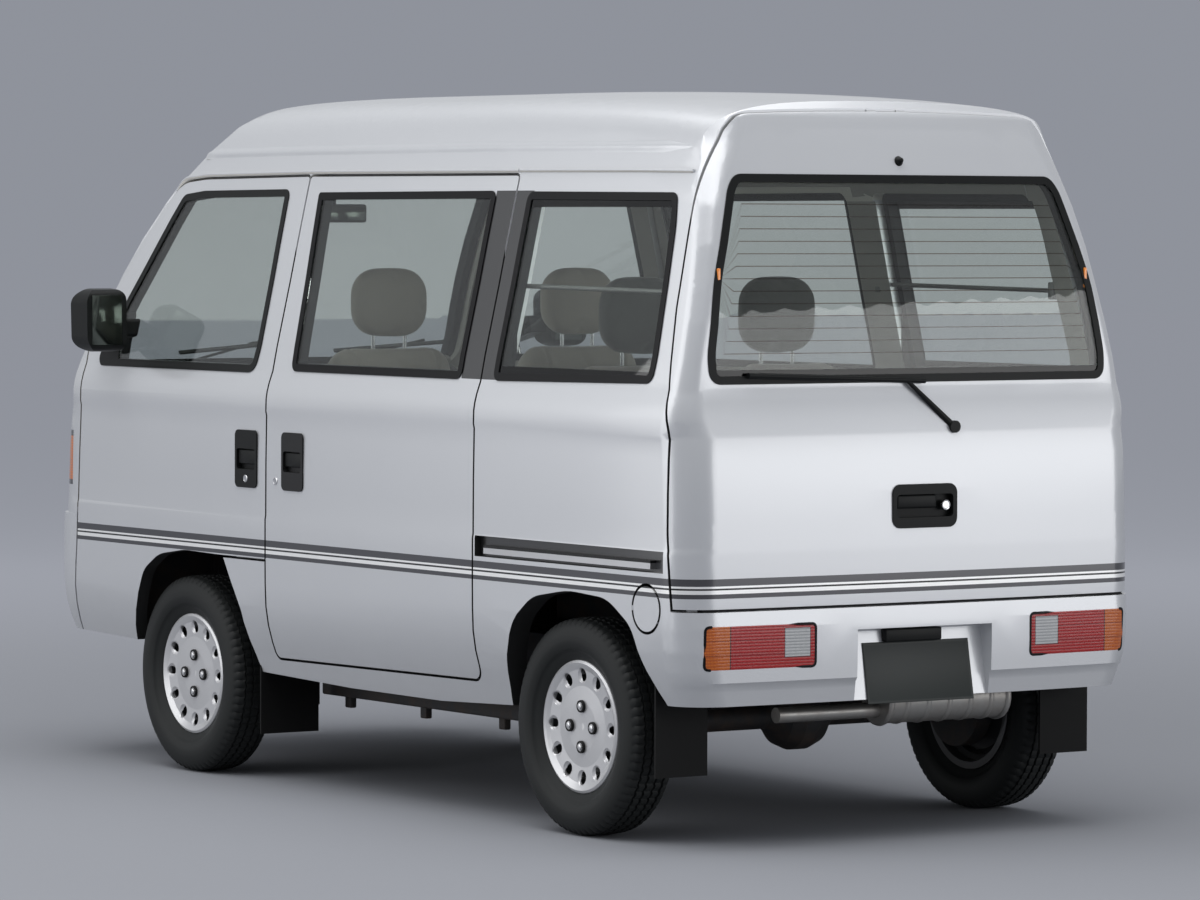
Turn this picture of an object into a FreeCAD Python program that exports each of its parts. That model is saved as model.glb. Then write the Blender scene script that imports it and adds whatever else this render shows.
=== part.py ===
"""Small high-roof van in millimetres.

+Z is up, the nose points to -Y, the vehicle's left flank is +X. The tyres stand on Z = 0,
and Y = 0 is the middle of the overall length.
"""
import FreeCAD, Part
import math
import os

os.makedirs("parts", exist_ok=True)
V = FreeCAD.Vector

# Overall sizes
LENGTH = 3295.0
WIDTH = 1395.0
HEIGHT = 1842.0
WHEELBASE = 1900.0
FRONT_AXLE_Y = -796.0
REAR_AXLE_Y = FRONT_AXLE_Y + WHEELBASE
TRACK_HALF = 602.0
NOSE_END = -LENGTH / 2
TAIL_END = LENGTH / 2

# Walls and clearances
WALL = 60.0
ROOF_WALL = 28.0
DOOR_WALL = 36.0
JAMB_DEPTH = 42.0
MOVE_GAP = JAMB_DEPTH - DOOR_WALL
SEAM = 7.0
EDGE_STEP = 8.0
JAMB = 26.0
GLASS = 6.0
SEAL_WIDTH = 20.0
SEAL_PROUD = 3.0

# Hinge barrels: radius, line of the front doors' hinge in plan and of the tailgate's in side view
HINGE_R = 2.0
DOOR_HINGE = (692.0, -1362.0)
DOOR_HINGE_Z = 686.0
HINGE_LENGTH = 30.0
GATE_HINGE = (1472.7, 1779.6)

# Splits between the fixed panels
ROOF_SEAM_Z = 1642.0
FRONT_SPLIT_Y = -985.0
BUMPER_TOP_FRONT = 682.0

# Wheels and tyres
TYRE_RADIUS = 268.0
TYRE_HALF = 71.0
RIM_RADIUS = 166.0
SPINDLE = 20.0
RUN_GAP = 0.3
HUB_BORE = SPINDLE + RUN_GAP
VENT_COUNT = 12
NUT_COUNT = 4
NUT_CIRCLE = 50.0
KINGPIN_X = 535.0
KINGPIN_LEAN = 0.26

# Floor heights and thickness
FLOOR = 30.0
FOOTWELL_Z = 400.0
SEAT_BASE_Z = 660.0
REAR_WELL_Z = 470.0
LOAD_FLOOR_Z = 640.0
RAIL_IN = 250.0
RAIL_OUT = 310.0
RAIL_REAR_Z = 420.0
RAIL_FRONT_Y = -1525.0
TOW_BORE = 12.0
TOW_AT = (-1569, 318)
PLATE_BOLT_HALF = 105.0
PLATE_BOLT_R = 3.0

# Half width of the skin at each height, taken along the straight part of the flank
FLANK = [
    (200, 630), (270, 634), (300, 645), (350, 661), (385, 674), (426, 686), (477, 694.5),
    (540, 697), (607, WIDTH / 2), (712, WIDTH / 2), (724, 695.5), (860, 695.0), (988, 693.0),
    (1000, 695.5), (1033, 694.5), (1052, 691.5), (1073, 686), (1106, 674), (1170, 661),
    (1260, 640), (1348, 619.5), (1450, 597), (1547, 575), (1628, 556), (1700, 538),
    (1780, 520), (1900, 496)]

# Rear face on the centre line at each height
TAIL = [
    (200, 1625), (270, 1625), (345, 1632), (430, 1637), (579, 1640), (724, 1640), (860, 1638),
    (940, 1634), (988, 1627), (1000, 1625), (1060, 1613), (1106, 1602), (1170, 1597),
    (1260, 1590), (1348, 1578), (1450, 1561), (1547, 1539), (1628, 1518), (1690, 1504),
    (1740, 1496), (1770, 1489), (1790, 1479), (1808, 1455), (1840, 1400), (1900, 1300)]
TAIL_CORNER = [
    (200, 100), (1000, 100), (1060, 75), (1106, 55), (1170, 48), (1450, 48), (1547, 56),
    (1628, 75), (1690, 95), (1740, 110), (1900, 120)]
TAIL_CROWN = 10000.0

# Front face on the centre line at each height
NOSE = [
    (200, -1600), (345, -1622), (690, -1622), (724, -1621), (860, -1613), (940, -1600),
    (988, -1587), (1000, -1585), (1040, -1566), (1075, -1547), (1106, -1528), (1170, -1488),
    (1260, -1428), (1348, -1364), (1450, -1282), (1547, -1194), (1628, -1112), (1690, -1035),
    (1740, -950), (1775, -870), (1800, -790), (1825, -690), (1850, -560), (1900, -300)]
NOSE_CORNER = [
    (200, 175), (860, 172), (1000, 150), (1040, 135), (1106, 100), (1170, 90), (1450, 90),
    (1547, 102), (1628, 125), (1700, 150), (1900, 170)]
NOSE_CROWN = [(200, 2000), (1000, 2000), (1106, 2600), (1900, 2600)]

# Height of the roof along the centre line, and its cross fall
RIDGE = [
    (-1400, 1770), (-1150, 1800), (-1000, 1815), (-800, 1831), (-600, 1839), (-400, HEIGHT),
    (0, HEIGHT), (500, 1841), (1000, 1831), (1300, 1816), (1450, 1804), (1700, 1784)]
CROSS_FALL = [
    (0, 0), (150, 2), (300, 9), (390, 20), (450, 35), (490, 58), (516, 95), (535, 150),
    (566, 240), (590, 300)]
FLANK_LEAN = 0.235

LEVELS = [
    270, 300, 345, 385, 430, 480, 540, 607, 660, 712, 724, 790, 860, 940, 988, 1000, 1033,
    1052, 1075, 1106, 1170, 1260, 1348, 1450, 1547, 1628, 1700, 1760, 1810, 1860, 1900]


def at(table, key):
    """Value of a (position, value) table at a position."""
    low = table[0]
    for high in table[1:]:
        if key <= high[0]:
            share = (key - low[0]) / float(high[0] - low[0])
            return low[1] + share * (high[1] - low[1])
        low = high
    return low[1]


def ring(z, half, tail, nose, tail_r, nose_r, tail_crown, nose_crown):
    """Plan outline: crowned ends, straight flanks, tangent corner arcs."""
    tail_c = tail - tail_crown
    nose_c = nose + nose_crown
    ty = tail_c + math.sqrt((tail_crown - tail_r) ** 2 - (half - tail_r) ** 2)
    ny = nose_c - math.sqrt((nose_crown - nose_r) ** 2 - (half - nose_r) ** 2)
    ta = math.atan2(ty - tail_c, half - tail_r)
    na = math.atan2(ny - nose_c, half - nose_r)

    def point(cx, cy, radius, angle, side):
        return V(side * (cx + radius * math.cos(angle)), cy + radius * math.sin(angle), z)

    def corner(cx, cy, radius, angle, side):
        return [point(cx, cy, radius, angle, side), point(cx, cy, radius, angle / 2, side),
                point(cx, cy, radius, 0, side)]

    t1 = corner(half - tail_r, ty, tail_r, ta, 1)
    t2 = corner(half - tail_r, ty, tail_r, ta, -1)
    n1 = corner(half - nose_r, ny, nose_r, na, 1)
    n2 = corner(half - nose_r, ny, nose_r, na, -1)
    edges = [
        Part.Arc(t2[0], V(0, tail, z), t1[0]).toShape(),
        Part.Arc(*t1).toShape(),
        Part.makeLine(t1[2], n1[2]),
        Part.Arc(n1[2], n1[1], n1[0]).toShape(),
        Part.Arc(n1[0], V(0, nose, z), n2[0]).toShape(),
        Part.Arc(*n2).toShape(),
        Part.makeLine(n2[2], t2[2]),
        Part.Arc(t2[2], t2[1], t2[0]).toShape()]
    return Part.Wire(edges)


def body_ring(z, inset, key=None):
    """Plan outline of the body at a height, moved in by inset."""
    k = z if key is None else key
    return ring(z, at(FLANK, k) - inset, at(TAIL, k) - inset, at(NOSE, k) + inset,
                max(at(TAIL_CORNER, k) - inset, 12.0), max(at(NOSE_CORNER, k) - inset, 20.0),
                TAIL_CROWN, at(NOSE_CROWN, k))


def roof_top(drop, side_in):
    """Everything under the roof skin, lowered by drop and narrowed by side_in."""
    wires = []
    eave = CROSS_FALL[-1][0]
    for y, z in RIDGE:
        spread = 1 + (FLANK_LEAN * (HEIGHT - z) - side_in) / eave
        right = [V(-x * spread, y, z - drop - f) for x, f in CROSS_FALL[:0:-1]]
        left = [V(x * spread, y, z - drop - f) for x, f in CROSS_FALL]
        curve = Part.BSplineCurve()
        curve.interpolate(right + left)
        a = right[0]
        b = left[-1]
        low_a = V(a.x - 150, y, 1100)
        low_b = V(b.x + 150, y, 1100)
        wires.append(Part.Wire([curve.toShape(), Part.makeLine(b, low_b),
                                Part.makeLine(low_b, low_a), Part.makeLine(low_a, a)]))
    return Part.makeLoft(wires, True, False)


def body_form(inset, roof_inset, low):
    """Closed body form inside the skin by inset."""
    rings = []
    if low is not None:
        rings.append(body_ring(low, inset, LEVELS[0]))
    for z in LEVELS:
        rings.append(body_ring(z, inset))
    form = Part.makeLoft(rings, True, True)
    split = 1560
    lower = form.common(Part.makeBox(2000, 4000, split, V(-1000, -2000, 0)))
    upper = form.common(Part.makeBox(2000, 4000, 600, V(-1000, -2000, split)))
    upper = upper.common(roof_top(roof_inset, inset))
    return lower.fuse(upper)


def rounded(points, place):
    """Closed wire through (a, b, radius) corners, put in space by place(a, b)."""
    count = len(points)
    entries = []
    for i in range(count):
        a0, b0 = points[i - 1][:2]
        a1, b1 = points[i][:2]
        a2, b2 = points[(i + 1) % count][:2]
        radius = points[i][2] if len(points[i]) > 2 else 0
        if radius <= 0:
            entries.append([(a1, b1)])
            continue
        la = math.hypot(a0 - a1, b0 - b1)
        lb = math.hypot(a2 - a1, b2 - b1)
        ua = ((a0 - a1) / la, (b0 - b1) / la)
        ub = ((a2 - a1) / lb, (b2 - b1) / lb)
        turn = math.acos(max(-1.0, min(1.0, ua[0] * ub[0] + ua[1] * ub[1])))
        back = radius / math.tan(turn / 2)
        back = min(back, la * 0.48, lb * 0.48)
        radius = back * math.tan(turn / 2)
        mx, my = ua[0] + ub[0], ua[1] + ub[1]
        ml = math.hypot(mx, my)
        if ml < 1e-6:
            entries.append([(a1, b1)])
            continue
        reach = math.hypot(back, radius)
        centre = (a1 + mx / ml * reach, b1 + my / ml * reach)
        mid = (centre[0] - mx / ml * radius, centre[1] - my / ml * radius)
        entries.append([(a1 + ua[0] * back, b1 + ua[1] * back), mid,
                        (a1 + ub[0] * back, b1 + ub[1] * back)])
    edges = []
    for i in range(count):
        here = entries[i]
        following = entries[(i + 1) % count]
        if len(here) == 3:
            edges.append(Part.Arc(*[place(*p) for p in here]).toShape())
        start = place(*here[-1])
        end = place(*following[0])
        if start.distanceToPoint(end) > 1e-4:
            edges.append(Part.makeLine(start, end))
    return Part.Wire(edges)


def prism(points, axis, low, high, grow=0.0):
    """Prism of a rounded outline, along X, Y or Z, between two stations."""
    if axis == "x":
        wire = rounded(points, lambda a, b: V(low, a, b))
        along = V(high - low, 0, 0)
    elif axis == "y":
        wire = rounded(points, lambda a, b: V(a, low, b))
        along = V(0, high - low, 0)
    else:
        wire = rounded(points, lambda a, b: V(a, b, low))
        along = V(0, 0, high - low)
    if grow:
        wire = wire.makeOffset2D(grow)
    return Part.Face(wire).extrude(along)


def box(x0, x1, y0, y1, z0, z1):
    return Part.makeBox(x1 - x0, y1 - y0, z1 - z0, V(x0, y0, z0))


def mirrored(shape):
    return shape.mirror(V(0, 0, 0), V(1, 0, 0))


def both(shape):
    """The shape and its mirror image on the other flank."""
    return [shape, mirrored(shape)]


def solids(shapes):
    found = []
    for shape in shapes:
        found.extend(s for s in shape.Solids if s.Volume > 1.0)
    return found


def save(name, shapes):
    """Write one node, a solid or a group of solids that do not touch."""
    if not isinstance(shapes, list):
        shapes = [shapes]
    found = solids(shapes)
    shape = found[0] if len(found) == 1 else Part.makeCompound(found)
    shape.exportStep("parts/" + name + ".step")


BUMPER_NOSE = [
    (300, -1606), (345, -1624), (385, -1636), (430, -1644), (480, -1647), (540, NOSE_END),
    (607, NOSE_END), (660, -1645), (700, -1632)]
BUMPER_TAIL = [
    (300, 1627), (345, 1632), (385, 1637), (398, 1638.5), (408, 1645.5), (480, TAIL_END),
    (540, TAIL_END), (579, 1645), (700, 1638)]

# Outlines in side view, as (y, z, corner radius)
DOOR_TOP = 1621.0
DOOR_SEAM_Y = -328.0
REAR_SEAM_Y = 690.0
SILL_SEAM_Z = 340.0
FENDER_SEAM_Z = 603.0
FRONT_DOOR = [
    (-1393, 350, 20), (-1365, 600, 900), (-1359, 720, 900), (-1346, 994, 900),
    (-1354, 1222, 90), (-1299, 1309, 400), (-1194, 1447, 600), (-1123, 1526, 500),
    (-1057, 1586, 180), (-985, 1613, 180), (-880, DOOR_TOP, 300), (DOOR_SEAM_Y, DOOR_TOP + 5, 14),
    (DOOR_SEAM_Y, FENDER_SEAM_Z, 6), (-700, FENDER_SEAM_Z, 0), (-700, 280, 0), (-1400, 280, 0)]
SLIDE_DOOR = [
    (DOOR_SEAM_Y, SILL_SEAM_Z, 20), (DOOR_SEAM_Y, DOOR_TOP + 5, 14),
    (REAR_SEAM_Y, DOOR_TOP + 3, 14), (REAR_SEAM_Y, SILL_SEAM_Z + 12, 40)]
GATE_BOTTOM = 581.0
TAIL_SEAM = [
    (1471, 1900, 0), (1476, 1791, 60), (1468, 1726, 60), (1471, 1632, 300), (1475, 1498, 400),
    (1485, 1300, 300), (1513, 1129, 300), (1541, 999, 120), (1541, 760, 300),
    (1556, GATE_BOTTOM, 0), (1800, GATE_BOTTOM, 0), (1800, 1900, 0)]
BUMPER_SEAM = [
    (1556, GATE_BOTTOM - SEAM / 2, 0), (1546, 511, 200), (1537, 451, 200), (1509, 340, 0),
    (1480, 200, 0), (1800, 200, 0), (1800, GATE_BOTTOM - SEAM / 2, 0)]
FRONT_ARCH = [
    (-1100, 200, 0), (-1094, 340, 300), (-1036, 448, 300), (-985, 545, 90), (-900, 592, 160),
    (-760, 610, 300), (-553, 606, 10), (-465, 470, 120), (-440, 350, 90), (-405, 200, 0)]
REAR_ARCH = [
    (790, 200, 0), (797, 300, 200), (826, 415, 200), (872, 520, 120), (960, 582, 150),
    (1120, 606, 400), (1290, 596, 160), (1390, 536, 100), (1430, 455, 150), (1500, 348, 200),
    (1560, 200, 0)]
UNDERSIDE = [
    (-1700, 348, 0), (-1388, 352, 0), (-1095, 343, 0), (-416, 297, 0), (19, 285, 0),
    (458, 284, 0), (793, 298, 0), (1499, 349, 0), (1700, 352, 0), (1700, 100, 0),
    (-1700, 100, 0)]
FRONT_WINDOW = [
    (-1296, 1100, 25), (-1180, 1290, 400), (-1030, 1508, 100), (-978, 1577, 40),
    (-870, 1587, 200), (-418, 1590, 24), (-408, 1170, 100), (-420, 1100, 40)]
MIRROR_IN = 706.0
MIRROR_OUT = 830.0
MIRROR_FOOT = [(-1284, 1106, 12), (-1192, 1262, 20), (-1176, 1240, 12), (-1170, 1106, 8)]
SLIDE_WINDOW = [
    (-230, 1108, 26), (-236, 1200, 300), (-262, 1560, 300), (-264, 1581, 24),
    (600, 1583, 24), (600, 1108, 24)]
QUARTER_WINDOW = [
    (748, 1108, 24), (748, 1581, 24), (1400, 1577, 26), (1420, 1500, 600), (1448, 1175, 200),
    (1442, 1118, 30)]
PLATE_RECESS = [(1700, 526, 0), (1596, 522, 8), (1628, 330, 0), (1628, 200, 0), (1700, 200, 0)]
PLATE_RECESS_HALF = 205.0

# Outlines in end view, as (x, z, corner radius)
REAR_WINDOW = [
    (-600, 1118, 50), (-606, 1180, 200), (-575, 1366, 600), (-505, 1591, 200), (-480, 1622, 60),
    (480, 1622, 60), (505, 1591, 200), (575, 1366, 600), (606, 1180, 200), (600, 1118, 50)]
WINDSCREEN = [
    (-596, 1088, 60), (-590, 1170, 300), (-552, 1350, 900), (-508, 1570, 300),
    (-486, 1622, 70), (486, 1622, 70), (508, 1570, 300), (552, 1350, 900), (590, 1170, 300),
    (596, 1088, 60)]
HEAD_LAMP = [(350, 766, 24), (350, 908, 24), (588, 912, 20), (588, 762, 20)]
TURN_LAMP = [(597, 762, 10), (597, 915, 10), (760, 915, 0), (760, 762, 0)]
TAIL_LAMP = [(328, 440, 12), (328, 544, 12), (641, 544, 12), (641, 440, 12)]
GATE_APERTURE = [
    (-627, 655, 60), (-627, 1000, 200), (-590, 1170, 300), (-486, 1628, 300), (-455, 1700, 50),
    (455, 1700, 50), (486, 1628, 300), (590, 1170, 300), (627, 1000, 200), (627, 655, 60)]
FRONT_HANDLE = (-485, -372)
SLIDE_HANDLE = (-243, -135)
RAIL_DEPTH_X = 680.0
FUEL_Y = 1458.0
FUEL_Z = 580.0
FUEL_RADIUS = 58.0
FUEL_POCKET = 44.0
FUEL_HINGE_X = WIDTH / 2 - 2
FUEL_HINGE_Y = FUEL_Y - FUEL_RADIUS
GATE_HANDLE = [(-98, 764, 24), (-98, 871, 24), (98, 871, 24), (98, 764, 24)]

outer = body_form(0.0, 0.0, None)
proud = body_form(-SEAL_PROUD, -SEAL_PROUD, None)
glass_back = body_form(GLASS, GLASS, 200)
door_back = body_form(DOOR_WALL, ROOF_WALL, 200)
jamb_face = body_form(JAMB_DEPTH, ROOF_WALL + MOVE_GAP, 200)
inner = body_form(WALL, ROOF_WALL + WALL - DOOR_WALL, 200)

under = prism(UNDERSIDE, "x", -900, 900)
arches = [prism(FRONT_ARCH, "x", -900, 900), prism(REAR_ARCH, "x", -900, 900)]


def left(outline, grow=0.0):
    """Prism through the left flank only."""
    return prism(outline, "x", 250, 900, grow)


def fuel_tube(radius, x, length):
    """Disc on the fuel filler's axis."""
    return Part.makeCylinder(radius, length, V(x, FUEL_Y, FUEL_Z), V(1, 0, 0))


def pull_handle(y0, y1):
    """Black cup handle let into a door skin."""
    cup = prism([(y0, 793, 16), (y0, 947, 16), (y1, 947, 16), (y1, 793, 16)], "x", 672, 699)
    return cup.cut(prism([(y0 + 9, 842, 8), (y0 + 9, 897, 8), (y1 - 9, 897, 8),
                          (y1 - 9, 842, 8)], "x", 684, 700))


def handle_hole(y0, y1):
    return prism([(y0, 793, 16), (y0, 947, 16), (y1, 947, 16), (y1, 793, 16)], "x", 672, 720)


def ring_prism(outline, axis, low, high):
    return prism(outline, axis, low, high).cut(prism(outline, axis, low, high, -SEAL_WIDTH))


gate_hole = prism(TAIL_SEAM, "x", -900, 900, SEAM / 2)
gate_cut = prism(TAIL_SEAM, "x", -900, 900, -SEAM / 2)
rear_window = prism(REAR_WINDOW, "y", 1350, 1750)
windscreen = prism(WINDSCREEN, "y", -1750, -900)

# Shell with rebated openings: the outer depth is cut to the panel seam, the inner depth less
hull = outer.cut([inner, under] + arches)
rebates = []
for outline, grow in ((FRONT_DOOR, SEAM / 2), (SLIDE_DOOR, SEAM / 2)):
    deep = left(outline, grow).cut(jamb_face)
    rebates.extend([deep, mirrored(deep)])
    through = left(outline, -JAMB)
    rebates.extend([through, mirrored(through)])
gate_deep = gate_hole.cut(jamb_face)
gate_through = prism(GATE_APERTURE, "y", 1400, 1800)
hull = hull.cut(rebates + [gate_deep, gate_through, windscreen])
quarter = left(QUARTER_WINDOW)
hull = hull.cut([quarter, mirrored(quarter)])


def door_barrel(radius, spare):
    """Round of the left front door's hinge."""
    return Part.makeCylinder(radius, HINGE_LENGTH + 2 * spare,
                             V(DOOR_HINGE[0], DOOR_HINGE[1], DOOR_HINGE_Z - spare))


def gate_barrel(radius, spare):
    """Round of the tailgate's left hinge."""
    return Part.makeCylinder(radius, HINGE_LENGTH + 2 * spare,
                             V(HINGE_LENGTH - spare, *GATE_HINGE), V(1, 0, 0))


roof = hull.common(box(-900, 900, -1700, 1700, ROOF_SEAM_Z, 2000))
roof = roof.cut(both(gate_barrel(HINGE_R, RUN_GAP)))
save("roof", roof)
below = hull.common(box(-900, 900, -1700, 1700, 0, ROOF_SEAM_Z))
front_panel = below.common(box(-900, 900, -1700, FRONT_SPLIT_Y, BUMPER_TOP_FRONT, 2000))
lamp_depth = outer.cut(door_back)
head_lamp = lamp_depth.common(prism(HEAD_LAMP, "y", -1750, -1380))
turn_lamp = lamp_depth.common(prism(TURN_LAMP, "y", -1750, -1396))
front_panel = front_panel.cut(both(head_lamp) + both(turn_lamp))
front_panel = front_panel.cut(both(door_barrel(HINGE_R + RUN_GAP, RUN_GAP)))
grille = [box(-300, 300, -1750, -1601, z, z + 14) for z in (792, 822, 852, 882)]
front_panel = front_panel.cut(grille)
save("front_panel", front_panel)
save("front_lamps", both(head_lamp) + both(turn_lamp))

rear_low = prism(BUMPER_SEAM, "x", -900, 900)
side = below.common(box(0, 900, FRONT_SPLIT_Y, 1700, 0, 2000)).cut(rear_low)
rail_groove = box(RAIL_DEPTH_X, 900, 700, 1528, 668, 720)
side = side.cut(rail_groove)
side_left = side.cut(fuel_tube(FUEL_RADIUS + SEAM / 2, WIDTH / 2 - FUEL_POCKET, 200))
side_left = side_left.fuse(fuel_tube(24, WIDTH / 2 - FUEL_POCKET, 22))
save("side_left", side_left)
save("side_right", mirrored(side))
slide_rail = box(RAIL_DEPTH_X, WIDTH / 2 - 1, 739, 1473, 676, 697)
fuel_lid = fuel_tube(FUEL_RADIUS - SEAM / 2, WIDTH / 2 - 8, 8)
barrel = Part.makeCylinder(3, 12, V(FUEL_HINGE_X, FUEL_HINGE_Y, FUEL_Z - 6))
web = box(FUEL_HINGE_X - 3, FUEL_HINGE_X, FUEL_HINGE_Y, FUEL_HINGE_Y + 8, FUEL_Z - 6, FUEL_Z + 6)
fuel_lid = fuel_lid.fuse([barrel, web])
save("fuel_lid", fuel_lid)
print("hull", len(roof.Solids), len(front_panel.Solids), len(side.Solids))

# Doors: thinner than the walls, so that they shut against the rebate
door_skin = outer.cut([door_back, under] + arches)
front_door = door_skin.common(left(FRONT_DOOR, -SEAM / 2)).cut(left(FRONT_WINDOW))
edge = left(FRONT_DOOR, -SEAM / 2).cut(left(FRONT_DOOR, -SEAM / 2 - EDGE_STEP))
front_door = front_door.cut(edge.common(glass_back))
front_door = front_door.cut(handle_hole(*FRONT_HANDLE))
leaf = box(DOOR_HINGE[0] - 1.5, DOOR_HINGE[0] + 1.5, DOOR_HINGE[1], DOOR_HINGE[1] + 20,
           DOOR_HINGE_Z, DOOR_HINGE_Z + HINGE_LENGTH)
front_door = front_door.fuse([door_barrel(HINGE_R, 0), leaf])
slide_skin = outer.cut([jamb_face, under] + arches)
slide_door = slide_skin.common(left(SLIDE_DOOR, -SEAM / 2)).cut(left(SLIDE_WINDOW))
slide_door = slide_door.cut(handle_hole(*SLIDE_HANDLE))
save("door_front_left", front_door)
save("door_front_right", mirrored(front_door))
save("slide_doors", both(slide_door))
gate_cup_hole = prism(GATE_HANDLE, "y", 1612, 1700)
tailgate = door_skin.common(gate_cut).cut([rear_window, gate_cup_hole])
gy, gz = GATE_HINGE
leaf = prism([(gy, gz + 1), (gy + 8, gz - 11), (gy + 8, gz - 17), (gy, gz - 1.6)], "x",
             HINGE_LENGTH, 2 * HINGE_LENGTH)
tailgate = tailgate.fuse(both(gate_barrel(HINGE_R - RUN_GAP, 0)) + both(leaf))
save("tailgate", tailgate)
print("doors", len(front_door.Solids), len(slide_door.Solids), len(tailgate.Solids))

# Glass and its rubber rings
panes = outer.cut(glass_back)
rubber = proud.cut(door_back)


def pane(outline, axis, low, high):
    return panes.common(prism(outline, axis, low, high, -SEAL_WIDTH))


def seal(outline, axis, low, high):
    return rubber.common(ring_prism(outline, axis, low, high))


front_glass = pane(FRONT_WINDOW, "x", 250, 900).cut(left(MIRROR_FOOT))
front_seal = seal(FRONT_WINDOW, "x", 250, 900)
save("door_glass_left", front_glass)
save("door_glass_right", mirrored(front_glass))
save("side_glass", both(pane(SLIDE_WINDOW, "x", 250, 900))
     + both(pane(QUARTER_WINDOW, "x", 250, 900)))
save("windshield", pane(WINDSCREEN, "y", -1750, -900))
save("tailgate_glass", pane(REAR_WINDOW, "y", 1350, 1750))
gate_seal = seal(REAR_WINDOW, "y", 1350, 1750)
save("window_seals", both(seal(SLIDE_WINDOW, "x", 250, 900))
     + both(seal(QUARTER_WINDOW, "x", 250, 900)) + [seal(WINDSCREEN, "y", -1750, -900)])
print("glass done")

# Bumpers stand out from the faces above them
def bumper_form(nose, tail):
    rings = []
    for z in (300, 345, 385, 398, 408, 430, 480, 540, 607, 660, 700):
        rings.append(ring(z, at(FLANK, z), at(tail, z), at(nose, z), at(TAIL_CORNER, z),
                          at(NOSE_CORNER, z), TAIL_CROWN, at(NOSE_CROWN, z)))
    return Part.makeLoft(rings, True, True)


bumper = bumper_form(BUMPER_NOSE, BUMPER_TAIL)
front_bumper = bumper.common(box(-900, 900, -1700, -1200, 0, BUMPER_TOP_FRONT))
door_hole = left(FRONT_DOOR, SEAM / 2)
front_bumper = front_bumper.cut([inner, under, door_hole, mirrored(door_hole)])
front_bumper = front_bumper.cut(box(-900, 900, -1330, 0, 0, 900))
front_bumper = front_bumper.cut([
    Part.makeCylinder(PLATE_BOLT_R, 70, V(x, -1700, 500), V(0, 1, 0))
    for x in (-PLATE_BOLT_HALF, PLATE_BOLT_HALF)])
save("front_bumper", front_bumper)
lamp_hole = prism(TAIL_LAMP, "y", 1500, 1700)
plate_recess = prism(PLATE_RECESS, "x", -PLATE_RECESS_HALF, PLATE_RECESS_HALF)
rear_bumper = bumper.common(prism(BUMPER_SEAM, "x", -900, 900, -0.01))
rear_bumper = rear_bumper.cut([inner, under])
tail_lamp = rear_bumper.common(lamp_hole)
rear_bumper = rear_bumper.cut([lamp_hole, mirrored(lamp_hole), plate_recess])
rear_bumper = rear_bumper.cut([
    Part.makeCylinder(PLATE_BOLT_R, 40, V(x, 1592, 452), V(0, 1, 0))
    for x in (-PLATE_BOLT_HALF, PLATE_BOLT_HALF)])
save("rear_bumper", rear_bumper)
save("tail_lamps", both(tail_lamp))
print("bumpers", len(front_bumper.Solids), len(rear_bumper.Solids), len(tail_lamp.Solids))
# Floor: stepped plate over the wheels, on two box rails
levels = [
    (-1560, -1115, FOOTWELL_Z), (-1145, -365, SEAT_BASE_Z), (-395, 330, REAR_WELL_Z),
    (300, 1590, LOAD_FLOOR_Z)]
steps = [
    (-1145, FOOTWELL_Z, SEAT_BASE_Z), (-395, REAR_WELL_Z, SEAT_BASE_Z),
    (300, REAR_WELL_Z, LOAD_FLOOR_Z)]
plates = [box(-700, 700, y0, y1, top - FLOOR, top) for y0, y1, top in levels]
risers = [box(-700, 700, y, y + FLOOR, z0 - FLOOR, z1) for y, z0, z1 in steps]
floor = plates[0].fuse(plates[1:] + risers).common(inner)
rail_line = [
    (RAIL_FRONT_Y, 330, 0), (RAIL_FRONT_Y, FOOTWELL_Z, 0), (-1115, FOOTWELL_Z, 0),
    (-1115, REAR_WELL_Z - FLOOR, 0), (830, REAR_WELL_Z - FLOOR, 30), (900, RAIL_REAR_Z + 70, 60),
    (1555, RAIL_REAR_Z + 70, 0), (1555, RAIL_REAR_Z, 0), (900, RAIL_REAR_Z, 60), (800, 330, 60)]
for side_x in (RAIL_IN, -RAIL_OUT):
    floor = floor.fuse(prism(rail_line, "x", side_x, side_x + RAIL_OUT - RAIL_IN))
floor = floor.fuse(box(-400, 400, -1115, -1115 + FLOOR, 330, LOAD_FLOOR_Z - FLOOR))
floor = floor.fuse(box(-400, 400, 1525, 1555, RAIL_REAR_Z, LOAD_FLOOR_Z - FLOOR))
tow_eye = prism([(-1595, 290, 24), (-1595, 346, 24), (-1500, 346, 0), (-1500, 312, 30)], "x",
                RAIL_IN + 24, RAIL_IN + 36)
tow_eye = tow_eye.cut(Part.makeCylinder(TOW_BORE, 100, V(RAIL_IN, *TOW_AT), V(1, 0, 0)))
floor = floor.fuse(tow_eye)
save("floor", floor.removeSplitter())
print("floor", len(floor.Solids))


def tube(x, y, z, radius, length, direction):
    return Part.makeCylinder(radius, length, V(x, y, z), direction)


X_AXIS = V(1, 0, 0)
Z_AXIS = V(0, 0, 1)


def lathe(profile, x, y, z):
    """Solid of revolution about X, from (x, radius) points."""
    points = [V(x + a, y, z + r) for a, r in profile]
    wire = Part.makePolygon(points + [points[0]])
    return Part.Face(wire).revolve(V(x, y, z), X_AXIS, 360)


# Front suspension: lower arms and strut tubes; rear: beam axle on leaf springs
king_dir = V(-KINGPIN_LEAN, 0, 1)
king_dir.normalize()
king_at = V(KINGPIN_X, FRONT_AXLE_Y, TYRE_RADIUS)


def king(start, end, radius):
    """Round length of the kingpin line, by distance from the wheel's height."""
    return Part.makeCylinder(radius, end - start, king_at + king_dir * start, king_dir)


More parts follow.
